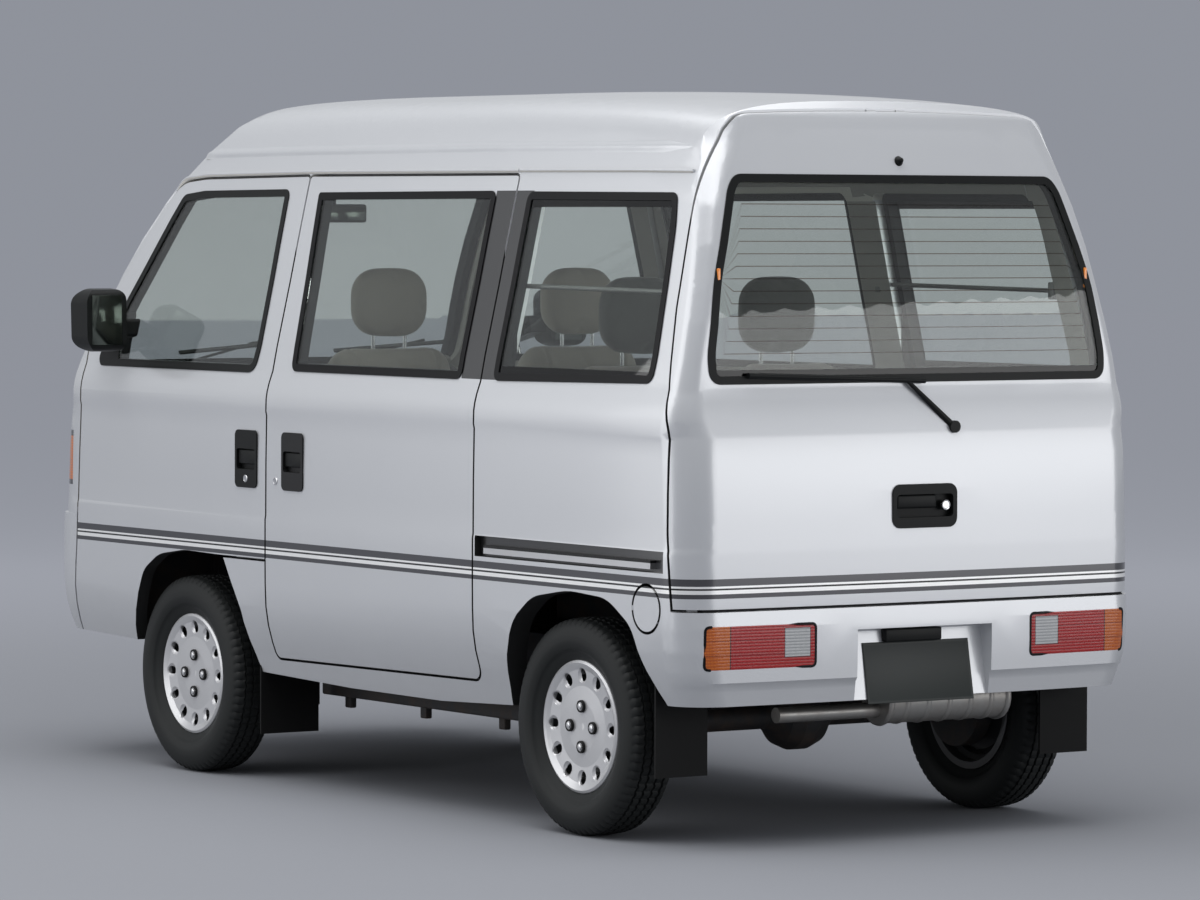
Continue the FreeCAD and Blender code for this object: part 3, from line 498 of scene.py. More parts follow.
# Drip gutter: a lacquered steel lip welded over the doors, from the mirror up the front pillar
# and back to the tail, where it ends just short of the tailgate's seam.
LIP = [(-0.0030, -0.002), (0.0050, -0.002), (0.0045, 0.002), (0.0030, 0.0050), (0.0005, 0.0065),
       (-0.0022, 0.0065), (-0.0034, 0.0055), (-0.0030, 0.0030)]
over_doors = smooth_run(spread([
    (-1.3240, 1.3000), (-1.2030, 1.4540), (-1.1300, 1.5360), (-1.0620, 1.5960),
    (-0.9870, 1.6220), (-0.8800, 1.6300), (-0.3280, 1.6350), (0.6860, 1.6330)], 0.06))
over_rear = spread([(0.6900, 1.6335), (1.2000, 1.6310), (1.4450, 1.6280)], 0.05)
bm = bmesh.new()
for run in (over_doors, over_rear):
    sweep(bm, [on_flank(p.y, p.z) for p in run], LIP)
mirror_x(bm)
new_mesh("drip_gutter", bm, paint, sharp=50.0)

# Roof crease: the edge pressed into the high roof a hand above the gutter, all along its side.
# It rises out of the sheet without a step, and fades out over a hand's length at both ends.
CREASE_START, CREASE_END, CREASE_FADE = -1.0400, 1.4350, 0.12
CREASE_WIDTH, CREASE_HEIGHT, CREASE_STEPS = 0.034, 0.0042, 10
bead = []
for i in range(CREASE_STEPS + 1):
    share = i / CREASE_STEPS
    bead.append((CREASE_WIDTH * (0.5 - share),
                 CREASE_HEIGHT * (0.5 - 0.5 * math.cos(2 * math.pi * share)) - 0.0003))
bead += [(-CREASE_WIDTH / 2, -0.002), (CREASE_WIDTH / 2, -0.002)]
run = smooth_run(spread([(CREASE_START, 1.6750), (-0.9400, 1.6880), (-0.5000, 1.6920),
                         (0.5000, 1.6940), (CREASE_END, 1.6880)], 0.05), 1)
path = []
for p in run:
    faded = 1.0 - min(p.y - CREASE_START, CREASE_END - p.y) / CREASE_FADE
    path.append(on_flank(p.y, p.z, -0.0048 * max(0.0, faded)))
bm = bmesh.new()
sweep(bm, path, bead)
mirror_x(bm)
new_mesh("roof_crease", bm, paint, sharp=60.0)


# Glass: 6 mm panes set in rubber, slightly grey-green, with a black printed border, and the
# heater's printed lines in the tailgate's pane. Shadow rays pass, so that light reaches inside.
TINT = (0.80, 0.84, 0.82)
smears, (place, colour, faint), end = new_group(
    "glass_smears", {"Vector": "Place", "Color": "Colour Faint"},
    {"Color": "Colour", "Float": "Roughness"})
smear = noise(place, 7.0, 4.0)
wire(end, Colour=mix(smear, colour, faint), Roughness=smear * 0.02)


def glass_material(name, border=None):
    material, shader = new_material(name, TINT, 0.0, IOR=1.45, Transmission_Weight=1.0)
    tree = material.node_tree
    place = coordinate(material)
    colour, rough = use_group(material, smears, Place=place, Colour=TINT, Faint=scaled(TINT, 0.96))
    passes = Value(add_node(tree, "LightPath").outputs["Is Shadow Ray"])
    if border:
        printed, wires = border(*axes_of(place))
        colour = mix(printed, colour, (0.009, 0.009, 0.009))
        passes = passes & ~printed
        if wires:
            colour = mix(wires, colour, (0.30, 0.24, 0.20))
    wire(shader, Base_Color=colour, Roughness=rough)
    clear = add_node(tree, "BsdfTransparent", {"Color": TINT})
    either = add_node(tree, "MixShader", {0: passes, 1: Value(shader.outputs[0]),
                                          2: Value(clear.outputs[0])})
    wire(tree.nodes["Material Output"], Surface=Value(either.outputs[0]))
    return material


def quarter_border(x, y, z):
    """Black border round the clear field of the rear side pane; the sliding door's has none."""
    off = (y > z * -0.1462 + 1.6113) | (z > 1.5415) | (z < 1.1450)
    return off & (y > 0.70), None


def tail_border(x, y, z):
    """Black foot of the rear pane, and the heater's thin wires, gathered at both edges."""
    height = z - 1.370
    left = height * -0.24 + 0.553 - abs(x)
    share = (left * 22.0 + 0.12).math("MINIMUM", 1.0).math("MAXIMUM", 0.05)
    height = height.math("DIVIDE", share)
    step = (height * 33.5 + 0.5).math("FRACT")
    line = abs(step - 0.5) < 0.034
    return z < 1.1520, line & height.within(-0.200, 0.205) & (left > -0.004)


dress(glass_material("window_glass"), "windshield", "door_glass_left", "door_glass_right")
dress(glass_material("side_window_glass", quarter_border), "side_glass")
dress(glass_material("rear_window_glass", tail_border), "tailgate_glass")


# Rubber and black plastic: window rubbers, mirrors, handles, rails and mud flaps, moulded with a
# fine grain and greyed a little by wear. The sliding door's lower rail is bare metal.
moulded, (place, colour, raised, worn, scale, rough), end = new_group(
    "moulded_grain",
    {"Vector": "Place", "Color": "Colour Raised Worn", "Float": "Scale Roughness"},
    {"Color": "Colour", "Float": "Roughness Height"})
fine = noise(place, scale, 3.0)
wire(end, Colour=mix(noise(place, 6.0, 3.0) * 0.25, mix(fine, colour, raised), worn),
     Roughness=fine * 0.2 + rough - 0.1, Height=fine)


def grained(name, colour, roughness, grain, depth=0.0003, lift=1.7, wear=2.0, metal=None,
            metallic=0.0, coat=0.0, gloss=0.5):
    """A moulded, cast or turned surface; metal marks a region of bare metal."""
    material, shader = new_material(name, colour, roughness, metallic, coat,
                                    Specular_IOR_Level=gloss)
    place = coordinate(material)
    tint, rough, fine = use_group(
        material, moulded, Place=place, Scale=grain, Colour=colour, Raised=scaled(colour, lift),
        Worn=scaled(colour, wear, 0.003), Roughness=roughness)
    if metal:
        share = metal(*axes_of(place))
        tint = mix(share, tint, (0.55, 0.55, 0.56))
        rough = between(share, rough, 0.3)
        wire(shader, Metallic=share)
    wire(shader, Base_Color=tint, Roughness=rough)
    bump(shader, fine, 0.3, depth)
    return material


def metal_like(name, colour, roughness, metallic=0.0, coat=0.0):
    """A small smooth piece, dulled here and there by handling."""
    return grained(name, colour, roughness, 600.0, 0.00002, 1.04, 0.97, metallic=metallic,
                   coat=coat)


def lower_rail(x, y, z):
    return (y > 0.60) & (z < 0.6905)


rubber = grained("window_rubber", (0.004, 0.004, 0.0045), 0.36, 500.0, 0.0002, gloss=0.12)
plastic = grained("black_plastic", (0.005, 0.0055, 0.0055), 0.38, 1400.0, 0.0002, gloss=0.16)
dress(rubber, "window_seals")
dress(plastic, "door_trim_left", "door_trim_right", "tailgate_trim")
dress(grained("rail_and_handles", (0.007, 0.007, 0.0075), 0.38, 1400.0, 0.0002,
              metal=lower_rail, gloss=0.25), "slide_trim")
dress(grained("flap_rubber", (0.005, 0.005, 0.005), 0.6, 300.0, gloss=0.15), "mud_flaps")


# Running gear: painted steel axles, floor and engine, with blotches of rust, an aluminised muffler,
# and a ribbed rubber mat on top of the floor pan.
rusty, (place, colour, rough, amount), end = new_group(
    "rust", {"Vector": "Place", "Color": "Colour", "Float": "Roughness Rust"},
    {"Color": "Colour", "Float": "Roughness Height"})
blot = noise(place, 22.0, 6.0, 0.6)
share = ((blot * 2.0 - 0.8) * amount).math("MAXIMUM", 0.0)
wire(end, Colour=mix(share, colour, (0.16, 0.09, 0.05)), Roughness=blot * 0.3 + rough - 0.12,
     Height=blot)


def steel(name, colour, roughness, metallic, rust, mat=False):
    material, shader = new_material(name, colour, roughness, metallic)
    place = coordinate(material)
    tint, rough, height = use_group(material, rusty, Place=place, Colour=colour,
                                    Roughness=roughness, Rust=rust)
    if mat:
        x, y, z = axes_of(place)
        on_top = (axes_of(coordinate(material, "Normal"))[2] > 0.5) & (z > 0.395)
        ribs = abs((x * 260.0).math("SINE"))
        carpet = mix(noise(place, 700.0), (0.050, 0.047, 0.043), (0.085, 0.080, 0.072))
        tint = mix(on_top, tint, carpet)
        rough = between(on_top, rough, 0.85)
        height = ribs * on_top + height * ~on_top
    wire(shader, Base_Color=tint, Roughness=rough)
    bump(shader, height, 0.4, 0.001)
    return material


chassis = steel("chassis_paint", (0.020, 0.020, 0.021), 0.62, 0.0, 0.35)
pipe = steel("exhaust_steel", (0.40, 0.39, 0.37), 0.40, 0.85, 0.35)
dress(chassis, "suspension", "engine", "knuckle_left", "knuckle_right")
dress(steel("floor_pan", (0.022, 0.022, 0.023), 0.62, 0.0, 0.3, mat=True), "floor")
dress(steel("tank_plastic", (0.02, 0.02, 0.02), 0.6, 0.0, 0.1), "fuel_tank")
dress(pipe, "exhaust")


def turned(bm, profile, centre, axis, steps=28):
    """Spins an (along, radius) profile round an axis through a centre."""
    centre, axis = Vector(centre), Vector(axis).normalized()
    sideways = axis.orthogonal().normalized()
    before = set(bm.verts)
    points = [bm.verts.new(centre + axis * a + sideways * r) for a, r in profile]
    edges = [bm.edges.new(pair) for pair in zip(points, points[1:])]
    bmesh.ops.spin(bm, geom=points + edges, cent=centre, axis=axis, dvec=(0, 0, 0),
                   angle=2 * math.pi, steps=steps, use_merge=True, use_duplicate=False)
    fresh = [v for v in bm.verts if v not in before]
    bmesh.ops.remove_doubles(bm, verts=fresh, dist=0.00002)


# Muffler: strengthening ribs pressed round its shell, which lies across the tail, and two rolled
# end caps that stand out further.
MUFFLER_Y, MUFFLER_Z, SHELL_RADIUS = 1.470, 0.329, 0.056
END_CAPS = (-0.352, 0.01)
bm = bmesh.new()
for x in (*END_CAPS, -0.30, -0.235, -0.17, -0.105, -0.04):
    rise = 0.006 if x in END_CAPS else 0.003
    shoulder = SHELL_RADIUS + rise * 0.7
    turned(bm, [(-0.008, SHELL_RADIUS - 0.0005), (-0.006, shoulder), (0.0, SHELL_RADIUS + rise),
                (0.006, shoulder), (0.008, SHELL_RADIUS - 0.0005)],
           (x, MUFFLER_Y, MUFFLER_Z), (1, 0, 0), 48)
new_mesh("muffler_ribs", bm, pipe, sharp=60.0)


# Tyres: rubber on all four wheels, with ribbed tread, shoulder blocks and plain side walls ringed
# with fine moulding lines. They are turned to the solids' outline, and the tread is cut in.
WHEEL_RADIUS, HALF_TRACK, FRONT_AXLE, REAR_AXLE = 0.268, 0.602, -0.796, 1.104
CORNERS = (("front_left", 1, FRONT_AXLE), ("front_right", -1, FRONT_AXLE),
           ("rear_left", 1, REAR_AXLE), ("rear_right", -1, REAR_AXLE))
WALL = [(0.0465, 0.1660), (0.0505, 0.1715), (0.0560, 0.1800), (0.0612, 0.1890), (0.0622, 0.1895),
        (0.0640, 0.1925), (0.0655, 0.1950), (0.0700, 0.2060), (0.0710, 0.2140), (0.0707, 0.2230),
        (0.0702, 0.2290), (0.0694, 0.2320), (0.0690, 0.2360), (0.0655, 0.2450), (0.0632, 0.2500),
        (0.0600, 0.2557), (0.0560, 0.2608), (0.0515, 0.2645), (0.0430, 0.2660)]
TREAD = [(0.0385, 0.2668), (0.0375, 0.2610), (0.0325, 0.2610), (0.0315, 0.2672), (0.0240, 0.2677),
         (0.0160, 0.2678), (0.0150, 0.2615), (0.0100, 0.2615), (0.0090, 0.2679)]
OUTER_BEAD, INNER_BEAD = (0.0400, 0.1600), (-0.0360, 0.1600)
TREAD_STEPS, BLOCK_PITCH = 288, 4
SHOULDER_CUT, SIPE_CUT, ZIGZAG = 0.0045, 0.0030, 0.0012


def cut_tread(bm):
    """Cuts shoulder slots and sipes into a turned tyre, and waves its ribs."""
    for v in bm.verts:
        across, radius = abs(v.co.x), math.hypot(v.co.y, v.co.z)
        step = round(math.atan2(v.co.y, v.co.z) / (2 * math.pi) * TREAD_STEPS) % BLOCK_PITCH
        depth = 0.0
        if step == 0 and radius > 0.2555 and across > 0.040:
            depth = SHOULDER_CUT
        elif step == 2 and radius > 0.2665 and across < 0.034:
            depth = SIPE_CUT
        v.co.y *= 1 - depth / radius
        v.co.z *= 1 - depth / radius
        if radius > 0.2600 and across < 0.040:
            v.co.x += ZIGZAG if step in (1, 2) else -ZIGZAG


half = WALL + TREAD
loop = [OUTER_BEAD, *half, *((-a, r) for a, r in half[::-1]), INNER_BEAD, OUTER_BEAD]
tyre_rubber = grained("tyre_rubber", (0.008, 0.009, 0.009), 0.60, 260.0, gloss=0.3)
for corner, side, y in CORNERS:
    bm = bmesh.new()
    turned(bm, loop, (0, 0, 0), (1, 0, 0), TREAD_STEPS)
    cut_tread(bm)
    bmesh.ops.scale(bm, vec=(side, 1, 1), verts=bm.verts)
    bmesh.ops.translate(bm, vec=(side * HALF_TRACK, y, WHEEL_RADIUS), verts=bm.verts)
    tyre = new_mesh("tread_tyre_" + corner, bm, tyre_rubber, body="roll_" + corner, sharp=40.0)
    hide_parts("tyre_" + corner)

# Wheel covers: silver lacquered plastic over dark painted rims, held by four hexagonal nuts that
# sit in black ringed recesses.
NUT_CIRCLE, NUT_FACE = 0.050, HALF_TRACK + 0.047
RING = [(0.0, 0.0100), (0.0025, 0.0106), (0.0030, 0.0125), (0.0022, 0.0150), (0.0, 0.0156),
        (-0.004, 0.0156)]
cover, shader = new_material("cover_lacquer", (0.60, 0.60, 0.61), 0.30, 0.5, 0.4)
place = coordinate(cover)
rim = abs(axes_of(place)[0]) < 0.6315
tint, rough = use_group(
    cover, lacquer, Place=place, Scale=1800.0, Colour=(0.54, 0.54, 0.55), Bright=(0.66, 0.66, 0.67),
    Flaky=1.0, Cloudy=0.0, Shift=0.0, Roughness=0.26, Spread=0.12)
wire(shader, Base_Color=mix(rim, tint, (0.035, 0.035, 0.036)), Metallic=~rim * 0.5,
     Roughness=rough)
nut_metal = metal_like("nut_metal", (0.70, 0.70, 0.71), 0.28, metallic=0.9)
ring_black = grained("nut_ring", BLACK, 0.5, 600.0, 0.00002, gloss=0.2)
for corner, side, y in CORNERS:
    dress(cover, "wheel_" + corner)
    nuts, rings = bmesh.new(), bmesh.new()
    for i in range(4):
        angle = math.pi * i / 2
        seat = Vector((side * NUT_FACE, y + NUT_CIRCLE * math.sin(angle),
                       WHEEL_RADIUS + NUT_CIRCLE * math.cos(angle)))
        made = bmesh.ops.create_cone(
            nuts, cap_ends=True, segments=6, radius1=0.0095, radius2=0.0085, depth=0.007,
            matrix=Matrix.Translation(seat) @ Matrix.Rotation(side * math.pi / 2, 4, "Y"))
        edges = list({e for v in made["verts"] for e in v.link_edges})
        bmesh.ops.bevel(nuts, geom=edges, offset=0.0010, segments=2, profile=0.5,
                        affect="EDGES", material=-1)
        turned(rings, RING, seat - Vector((side * 0.0015, 0, 0)), (side, 0, 0), 24)
    new_mesh("wheel_nuts_" + corner, nuts, nut_metal, body="roll_" + corner)
    new_mesh("nut_rings_" + corner, rings, ring_black, body="roll_" + corner, sharp=50.0)


# Rear lamps: moulded acrylic lenses over the bumper's corners: amber turn signal outside, red in
# the middle, and a clear reversing window let into the red at the inner end.
prisms, (place,), end = new_group("lens_prisms", {"Vector": "Place"}, {"Float": "Depth"})
x, y, z = axes_of(place)
wire(end, Depth=abs((abs(x) * 900.0).math("SINE")) * abs((z * 420.0).math("SINE")))


def lamp_material(name, lens_colours):
    """Tinted acrylic or glass with moulded prisms behind a smooth face."""
    material, shader = new_material(name, (0.5, 0.02, 0.02), 0.10, 0.0, 0.35)
    place = coordinate(material)
    depth, = use_group(material, prisms, Place=place)
    x, y, z = axes_of(place)
    tint, clear = lens_colours(depth * 0.7, abs(x), z)
    if clear:
        wire(shader, Transmission_Weight=clear)
    wire(shader, Base_Color=tint, Roughness=depth * 0.10 + 0.06)
    bump(shader, depth, 0.25, 0.0010)
    return material


def rear_lens(cell, side, z):
    red = mix(cell, (0.22, 0.001, 0.001), (0.62, 0.006, 0.004))
    amber = mix(cell, (0.36, 0.06, 0.002), (0.72, 0.19, 0.008))
    white = mix(cell, (0.26, 0.27, 0.28), (0.72, 0.72, 0.71))
    window = side.within(0.3450, 0.4170) & z.within(0.4660, 0.5340)
    tint = mix(window, mix(side > 0.5720, red, amber), white)
    edge = side.within(0.5705, 0.5735) | (
        side.within(0.3435, 0.4190) & z.within(0.4645, 0.5355) & ~window)
    fold = (z.within(0.4735, 0.4755) | z.within(0.5085, 0.5105)) & side.within(0.4200, 0.6400)
    return mix(fold * 0.6, mix(edge, tint, (0.06, 0.004, 0.004)), (0.1, 0.01, 0.01)), None


def front_lens(cell, side, z):
    """Amber turn lamp at the corner, clear headlamp inside it, black frame above and below."""
    amber = mix(cell, (0.40, 0.08, 0.003), (0.78, 0.24, 0.012))
    framed = mix((z > 0.8990) | (z < 0.7760), amber, (0.012, 0.012, 0.013))
    lens = side < 0.5925
    return mix(lens, framed, (0.95, 0.96, 0.97)), lens


dress(lamp_material("rear_lamp_acrylic", rear_lens), "tail_lamps")
dress(lamp_material("front_lamp_glass", front_lens), "front_lamps")


def outline_loop(points, radius, place):
    """Rounded closed outline through corners, put on a face by place(a, b)."""
    loop = []
    for before, here, after in zip(points[-1:] + points, points, points[1:] + points[:1]):
        before, here, after = Vector(before), Vector(here), Vector(after)
        start = here + (before - here).normalized() * radius
        end = here + (after - here).normalized() * radius
        for k in range(6):
            t = k / 5
            loop.append(place(*start.lerp(here, t).lerp(here.lerp(end, t), t)))
    result = []
    for a, b in zip(loop, loop[1:] + loop[:1]):
        gap = (b[0] - a[0]).length
        count = int(gap / 0.02) if gap > 0.03 else 1
        result.extend((a[0].lerp(b[0], i / count), a[1].lerp(b[1], i / count))
                      for i in range(count))
    return result


# Gaskets: a thin black rubber pressed in round each rear lamp, flush with the bumper's corner,
# widened so that its black stands for the shade in the recess round the lamp: painted shade.
LAMP_INNER, LAMP_OUTER, LAMP_FOOT, LAMP_TOP = 0.3285, 0.6385, 0.4405, 0.5435
bm = bmesh.new()
loop = outline_loop([(LAMP_INNER, LAMP_FOOT), (LAMP_OUTER, LAMP_FOOT), (LAMP_OUTER, LAMP_TOP),
                     (LAMP_INNER, LAMP_TOP)], 0.012, on_tail)
sweep(bm, loop, [(-0.0036, -0.003), (0.0036, -0.003), (0.0032, 0.0008), (0.0, 0.0014),
                 (-0.0032, 0.0008)], closed=True)
mirror_x(bm)
new_mesh("rear_lamp_gaskets", bm, rubber)

# Headlamps: a silvered steel bowl and a glass bulb set in it behind each fluted lens.
BOWL = [(-0.0150, 0.0665), (-0.0110, 0.0640), (-0.0020, 0.0560), (0.0070, 0.0440),
        (0.0120, 0.0300), (0.0135, 0.0160)]
BULB = [(0.0120, 0.0155), (0.0060, 0.0110), (-0.0020, 0.0090), (-0.0080, 0.0060), (-0.0100, 0.0)]
for name, shape, finish in (
        ("headlamp_bowls", BOWL, metal_like("lamp_bowl", (0.80, 0.80, 0.79), 0.12, metallic=1.0)),
        ("headlamp_bulbs", BULB, metal_like("bulb_glass", (0.85, 0.83, 0.75), 0.08, coat=1.0))):
    bm = bmesh.new()
    for side in (1, -1):
        turned(bm, shape, (side * 0.469, -1.5840, 0.837), (0, 1, 0), 40)
    new_mesh(name, bm, finish, sharp=60.0)


# Handles: a black lever in each cup handle, sprung on a pin behind the panel, and a chromed lock
# barrel beside it, turned from bar.
def block(bm, low, high, radius, segments=3, turn=None, corner=0.0):
    """A body with rounded edges between two corners, turned about its middle.

    corner first rounds its outline as seen along Y.
    """
    low, high = Vector(low), Vector(high)
    seat = Matrix.Translation((low + high) / 2) @ (turn or Matrix())
    made = bmesh.ops.create_cube(bm, size=1.0, matrix=seat @ Matrix.Diagonal(
        (*(high - low), 1.0)))
    edges = list({e for v in made["verts"] for e in v.link_edges})
    way = dict(offset_type="OFFSET", profile=0.5, affect="EDGES", material=-1, clamp_overlap=True)
    if corner:
        level = [e for e in edges if abs(e.verts[0].co.y - e.verts[1].co.y) > 0.001]
        bmesh.ops.bevel(bm, geom=level, offset=corner, segments=10, **way)
        bm.normal_update()
        edges = [e for e in bm.edges if any(abs(f.normal.y) > 0.99 for f in e.link_faces)]
    bmesh.ops.bevel(bm, geom=edges, offset=radius, segments=segments, **way)


def new_block(name, low, high, radius, material, body="body", segments=3, side=1):
    """A rounded body as a piece of its own; side is -1 for the right flank and 0 for both."""
    bm = bmesh.new()
    block(bm, low, high, radius, segments)
    if side:
        bmesh.ops.scale(bm, vec=(side, 1, 1), verts=bm.verts)
    else:
        mirror_x(bm)
    new_mesh(name, bm, material, body=body)


DOORS = (("left", 1), ("right", -1))
LOCK = [(-0.004, 0.0105), (0.0, 0.0105), (0.0016, 0.0098), (0.0020, 0.0086), (0.0010, 0.0076),
        (0.0012, 0.0040), (0.0008, 0.0)]
LEVER_FOOT, LEVER_TOP, LEVER_SEAT, LEVER_FACE, LEVER_EDGE = 0.8560, 0.8940, 0.6845, 0.6945, 0.003
chrome = metal_like("lock_chrome", (0.62, 0.62, 0.63), 0.22, metallic=1.0)
for door, side in DOORS:
    new_block("door_lever_" + door, (LEVER_SEAT, -0.4730, LEVER_FOOT),
              (LEVER_FACE, -0.3840, LEVER_TOP), LEVER_EDGE, plastic, "front_door_" + door,
              side=side)
    bm = bmesh.new()
    turned(bm, LOCK, (side * 0.6985, -0.4285, 0.8170), (side, 0, 0))
    new_mesh("door_lock_" + door, bm, chrome, body="front_door_" + door)
new_block("slide_door_levers", (LEVER_SEAT, -0.2310, LEVER_FOOT),
          (LEVER_FACE, -0.1470, LEVER_TOP), LEVER_EDGE, plastic, side=0)
bm = bmesh.new()
turned(bm, LOCK, on_flank(-0.278, 0.816)[0], (1, 0, 0))
mirror_x(bm)
new_mesh("slide_door_locks", bm, chrome)
new_block("tailgate_lever", (-0.0360, 1.6250, 0.8120), (0.0840, 1.6400, 0.8450), 0.005, plastic,
          "rear_gate")
bm = bmesh.new()
turned(bm, [(a * 1.3, r * 1.25) for a, r in LOCK], (-0.0640, 1.6400, 0.8180), (0, 1, 0))
new_mesh("tailgate_lock", bm, chrome, body="rear_gate")

# Mirror glass: a dark silvered plate glued into each mirror's rear face.
silvered, shader = new_material("mirror_silver", (0.115, 0.130, 0.115), 0.10, 1.0)
wire(shader, Roughness=noise(coordinate(silvered), 25.0) * 0.05 + 0.07)
for door, side in DOORS:
    new_block("mirror_glass_" + door, (0.7215, -1.0650, 1.1615), (0.8145, -1.0618, 1.2985), 0.0012,
              silvered, "front_door_" + door, 2, side)

# Sill rubber: a black moulded strip that lies on the bumper's top edge, under the foot of the
# tailgate, and follows the crown of the bumper. Its black is painted shade that darkens the gap
# under the tailgate.
SILL_Z, SILL_INSET, SILL_REACH = 0.5815, 0.010, 0.640
run = []
for i in range(33):
    skin, out = on_tail(SILL_REACH * (i / 16 - 1), SILL_Z - 0.012)
    run.append((Vector((skin.x, skin.y - SILL_INSET, SILL_Z)), Vector((0, 1, 0))))
bm = bmesh.new()
sweep(bm, run, [(-0.0020, -0.010), (0.0020, -0.010), (0.0022, 0.0040), (-0.0022, 0.0040)])
new_mesh("sill_rubber", bm, rubber)

# Washer nozzle: a small dome moulded in black plastic, pushed into a hole in the tailgate above
# its window.
bm = bmesh.new()
turned(bm, [(-0.002, 0.0125), (0.001, 0.0125), (0.004, 0.0105), (0.006, 0.0075),
            (0.0125, 0.0060), (0.0150, 0.0040), (0.0155, 0.0)], *on_tail(-0.011, 1.656))
new_mesh("washer_nozzle", bm, plastic, body="rear_gate", sharp=50.0)

# Number plate: a blank dark sheet with a pressed rim, on the bumper's sloped recess, under a
# black lamp that lights it from above.
tilt = Matrix.Rotation(math.atan2(0.027, 0.148), 4, "X")
bm = bmesh.new()
block(bm, (-0.1620, 1.6155, 0.3380), (0.1620, 1.6175, 0.4880), 0.0008, 2, turn=tilt)
face = [f for f in bm.faces if f.normal.y > 0.9 and f.calc_area() > 0.02]
bmesh.ops.inset_region(bm, faces=face, thickness=0.006, depth=0.0)
bmesh.ops.inset_region(bm, faces=face, thickness=0.003, depth=-0.0010)
new_mesh("rear_plate", bm, grained("plate_paint", (0.012, 0.015, 0.014), 0.40, 800.0, 0.00005,
                                   gloss=0.3))
new_block("plate_lamp", (-0.0720, 1.5900, 0.4870), (0.1000, 1.6180, 0.5190), 0.004, plastic)

# Reflectors: amber acrylic marks on the tailgate's inner frame, one either side, seen through
# the glass.
new_block("tail_reflectors", (0.5560, 1.5530, 1.3450), (0.5650, 1.5620, 1.3950), 0.002,
          metal_like("amber_reflector", (0.85, 0.25, 0.02), 0.2, coat=1.0), "rear_gate", side=0)


# Front fittings: two wipers of black painted steel with rubber blades, on pivots under the
# windscreen, and black plastic bars across the grille's slots.
nose_skin = tree_of("front_panel", "windshield", "window_seals", "front_bumper", "roof")


def on_nose(x, z, lift=0.0):
    """Point of the front face at a place in end view, and the way outwards."""
    return on_skin(nose_skin, (x, -2.5, z), (0, 1, 0), lift)


bm = bmesh.new()
for foot in (-0.16, 0.36):
    turned(bm, [(-0.004, 0.013), (0.006, 0.013), (0.012, 0.010), (0.013, 0.0)],
           *on_nose(foot, 1.0600), 20)
    arm = [on_nose(foot - 0.36 * i / 8, 1.0620 + 0.085 * i / 8, 0.008 + 0.010 * i / 8)
           for i in range(9)]
    sweep(bm, arm, [(-0.004, 0.0), (0.004, 0.0), (0.003, 0.004), (-0.003, 0.004)])
    blade = [on_nose(foot - 0.08 - 0.42 * i / 12, 1.1220 + 0.030 * i / 12, 0.002)
             for i in range(13)]
    sweep(bm, blade, [(-0.003, 0.0), (0.003, 0.0), (0.005, 0.010), (0.0, 0.014),
                      (-0.005, 0.010)])
new_mesh("front_wipers", bm, plastic)
bm = bmesh.new()
for x in (-0.20, -0.10, 0.0, 0.10, 0.20):
    block(bm, (x - 0.004, -1.6190, 0.7910), (x + 0.004, -1.6030, 0.8960), 0.0015, 2)
new_mesh("grille_ribs", bm, plastic)


# Seats: sprung cushions, leaning backs and head restraints in woven cloth, stuffed by a short
# cloth simulation of each pad, then sewn: two channels run down each cushion and back. Steel pins
# carry the restraints. They stand for the plain solids of the seats.
woven, (place, colour, light, piping), end = new_group(
    "woven_cloth", {"Vector": "Place", "Color": "Colour Light Piping"},
    {"Color": "Colour", "Float": "Height"})
x, y, z = axes_of(place)
speck = noise(place, 320.0, 4.0, 0.7)
weave = (x * 2600.0).math("SINE") * ((y + z) * 2600.0).math("SINE") * 0.5 + 0.5
wire(end, Colour=mix(noise(place, 5.0, 3.0) * 0.3, mix(speck, colour, light), piping),
     Height=speck * 0.6 + weave)


def cloth_weave(name, colour, piping):
    """Woven cloth with a soft sheen, its threads across and along the pad."""
    material, shader = new_material(name, colour, 0.92, Sheen_Weight=0.35, Sheen_Roughness=0.5)
    tint, height = use_group(material, woven, Place=coordinate(material), Colour=colour,
                             Light=scaled(colour, 1.45), Piping=piping)
    wire(shader, Base_Color=tint)
    bump(shader, height, 0.35, 0.0006)
    return material


front_cloth = cloth_weave("front_seat_cloth", (0.330, 0.300, 0.260), (0.42, 0.39, 0.34))
rear_cloth = cloth_weave("rear_seat_cloth", (0.190, 0.165, 0.145), (0.24, 0.21, 0.18))
dark_cloth = cloth_weave("rest_cloth", (0.060, 0.062, 0.056), (0.085, 0.087, 0.08))
VOXEL, STUFFING_STEPS = 0.0085, 20
SEAM_HALF, SEAM_WIDTH, SEAM_DEPTH = 0.016, 0.005, 0.0045
pads = []


def apply_modifiers(piece):
    """Puts a piece's modifiers into its mesh."""
    graph = bpy.context.evaluated_depsgraph_get()
    mesh = bpy.data.meshes.new_from_object(piece.evaluated_get(graph))
    piece.modifiers.clear()
    piece.data = mesh
    return mesh


def pad(name, low, high, radius, cap, cloth, lean=0.0, foot=None, channels=0.0, corner=0.0):
    """One stuffed pad between two corners, leaned back about its foot, before it is filled."""
    bm = bmesh.new()
    block(bm, low, high, radius, 4, corner=corner)
    if lean:
        bmesh.ops.rotate(bm, cent=foot, matrix=Matrix.Rotation(lean, 3, "X"), verts=bm.verts)
    piece = new_mesh(name, bm, cloth, body=None)
    mesher = piece.modifiers.new("mesher", "REMESH")
    mesher.mode = "VOXEL"
    mesher.voxel_size = VOXEL
    mesh = apply_modifiers(piece)
    mesh.materials.clear()
    mesh.materials.append(cloth)
    mesh.shade_smooth()
    middle = (low[0] + high[0]) / 2
    pads.append((piece, [v.co.copy() for v in mesh.vertices], cap, middle, channels))


pins, frames = bmesh.new(), bmesh.new()


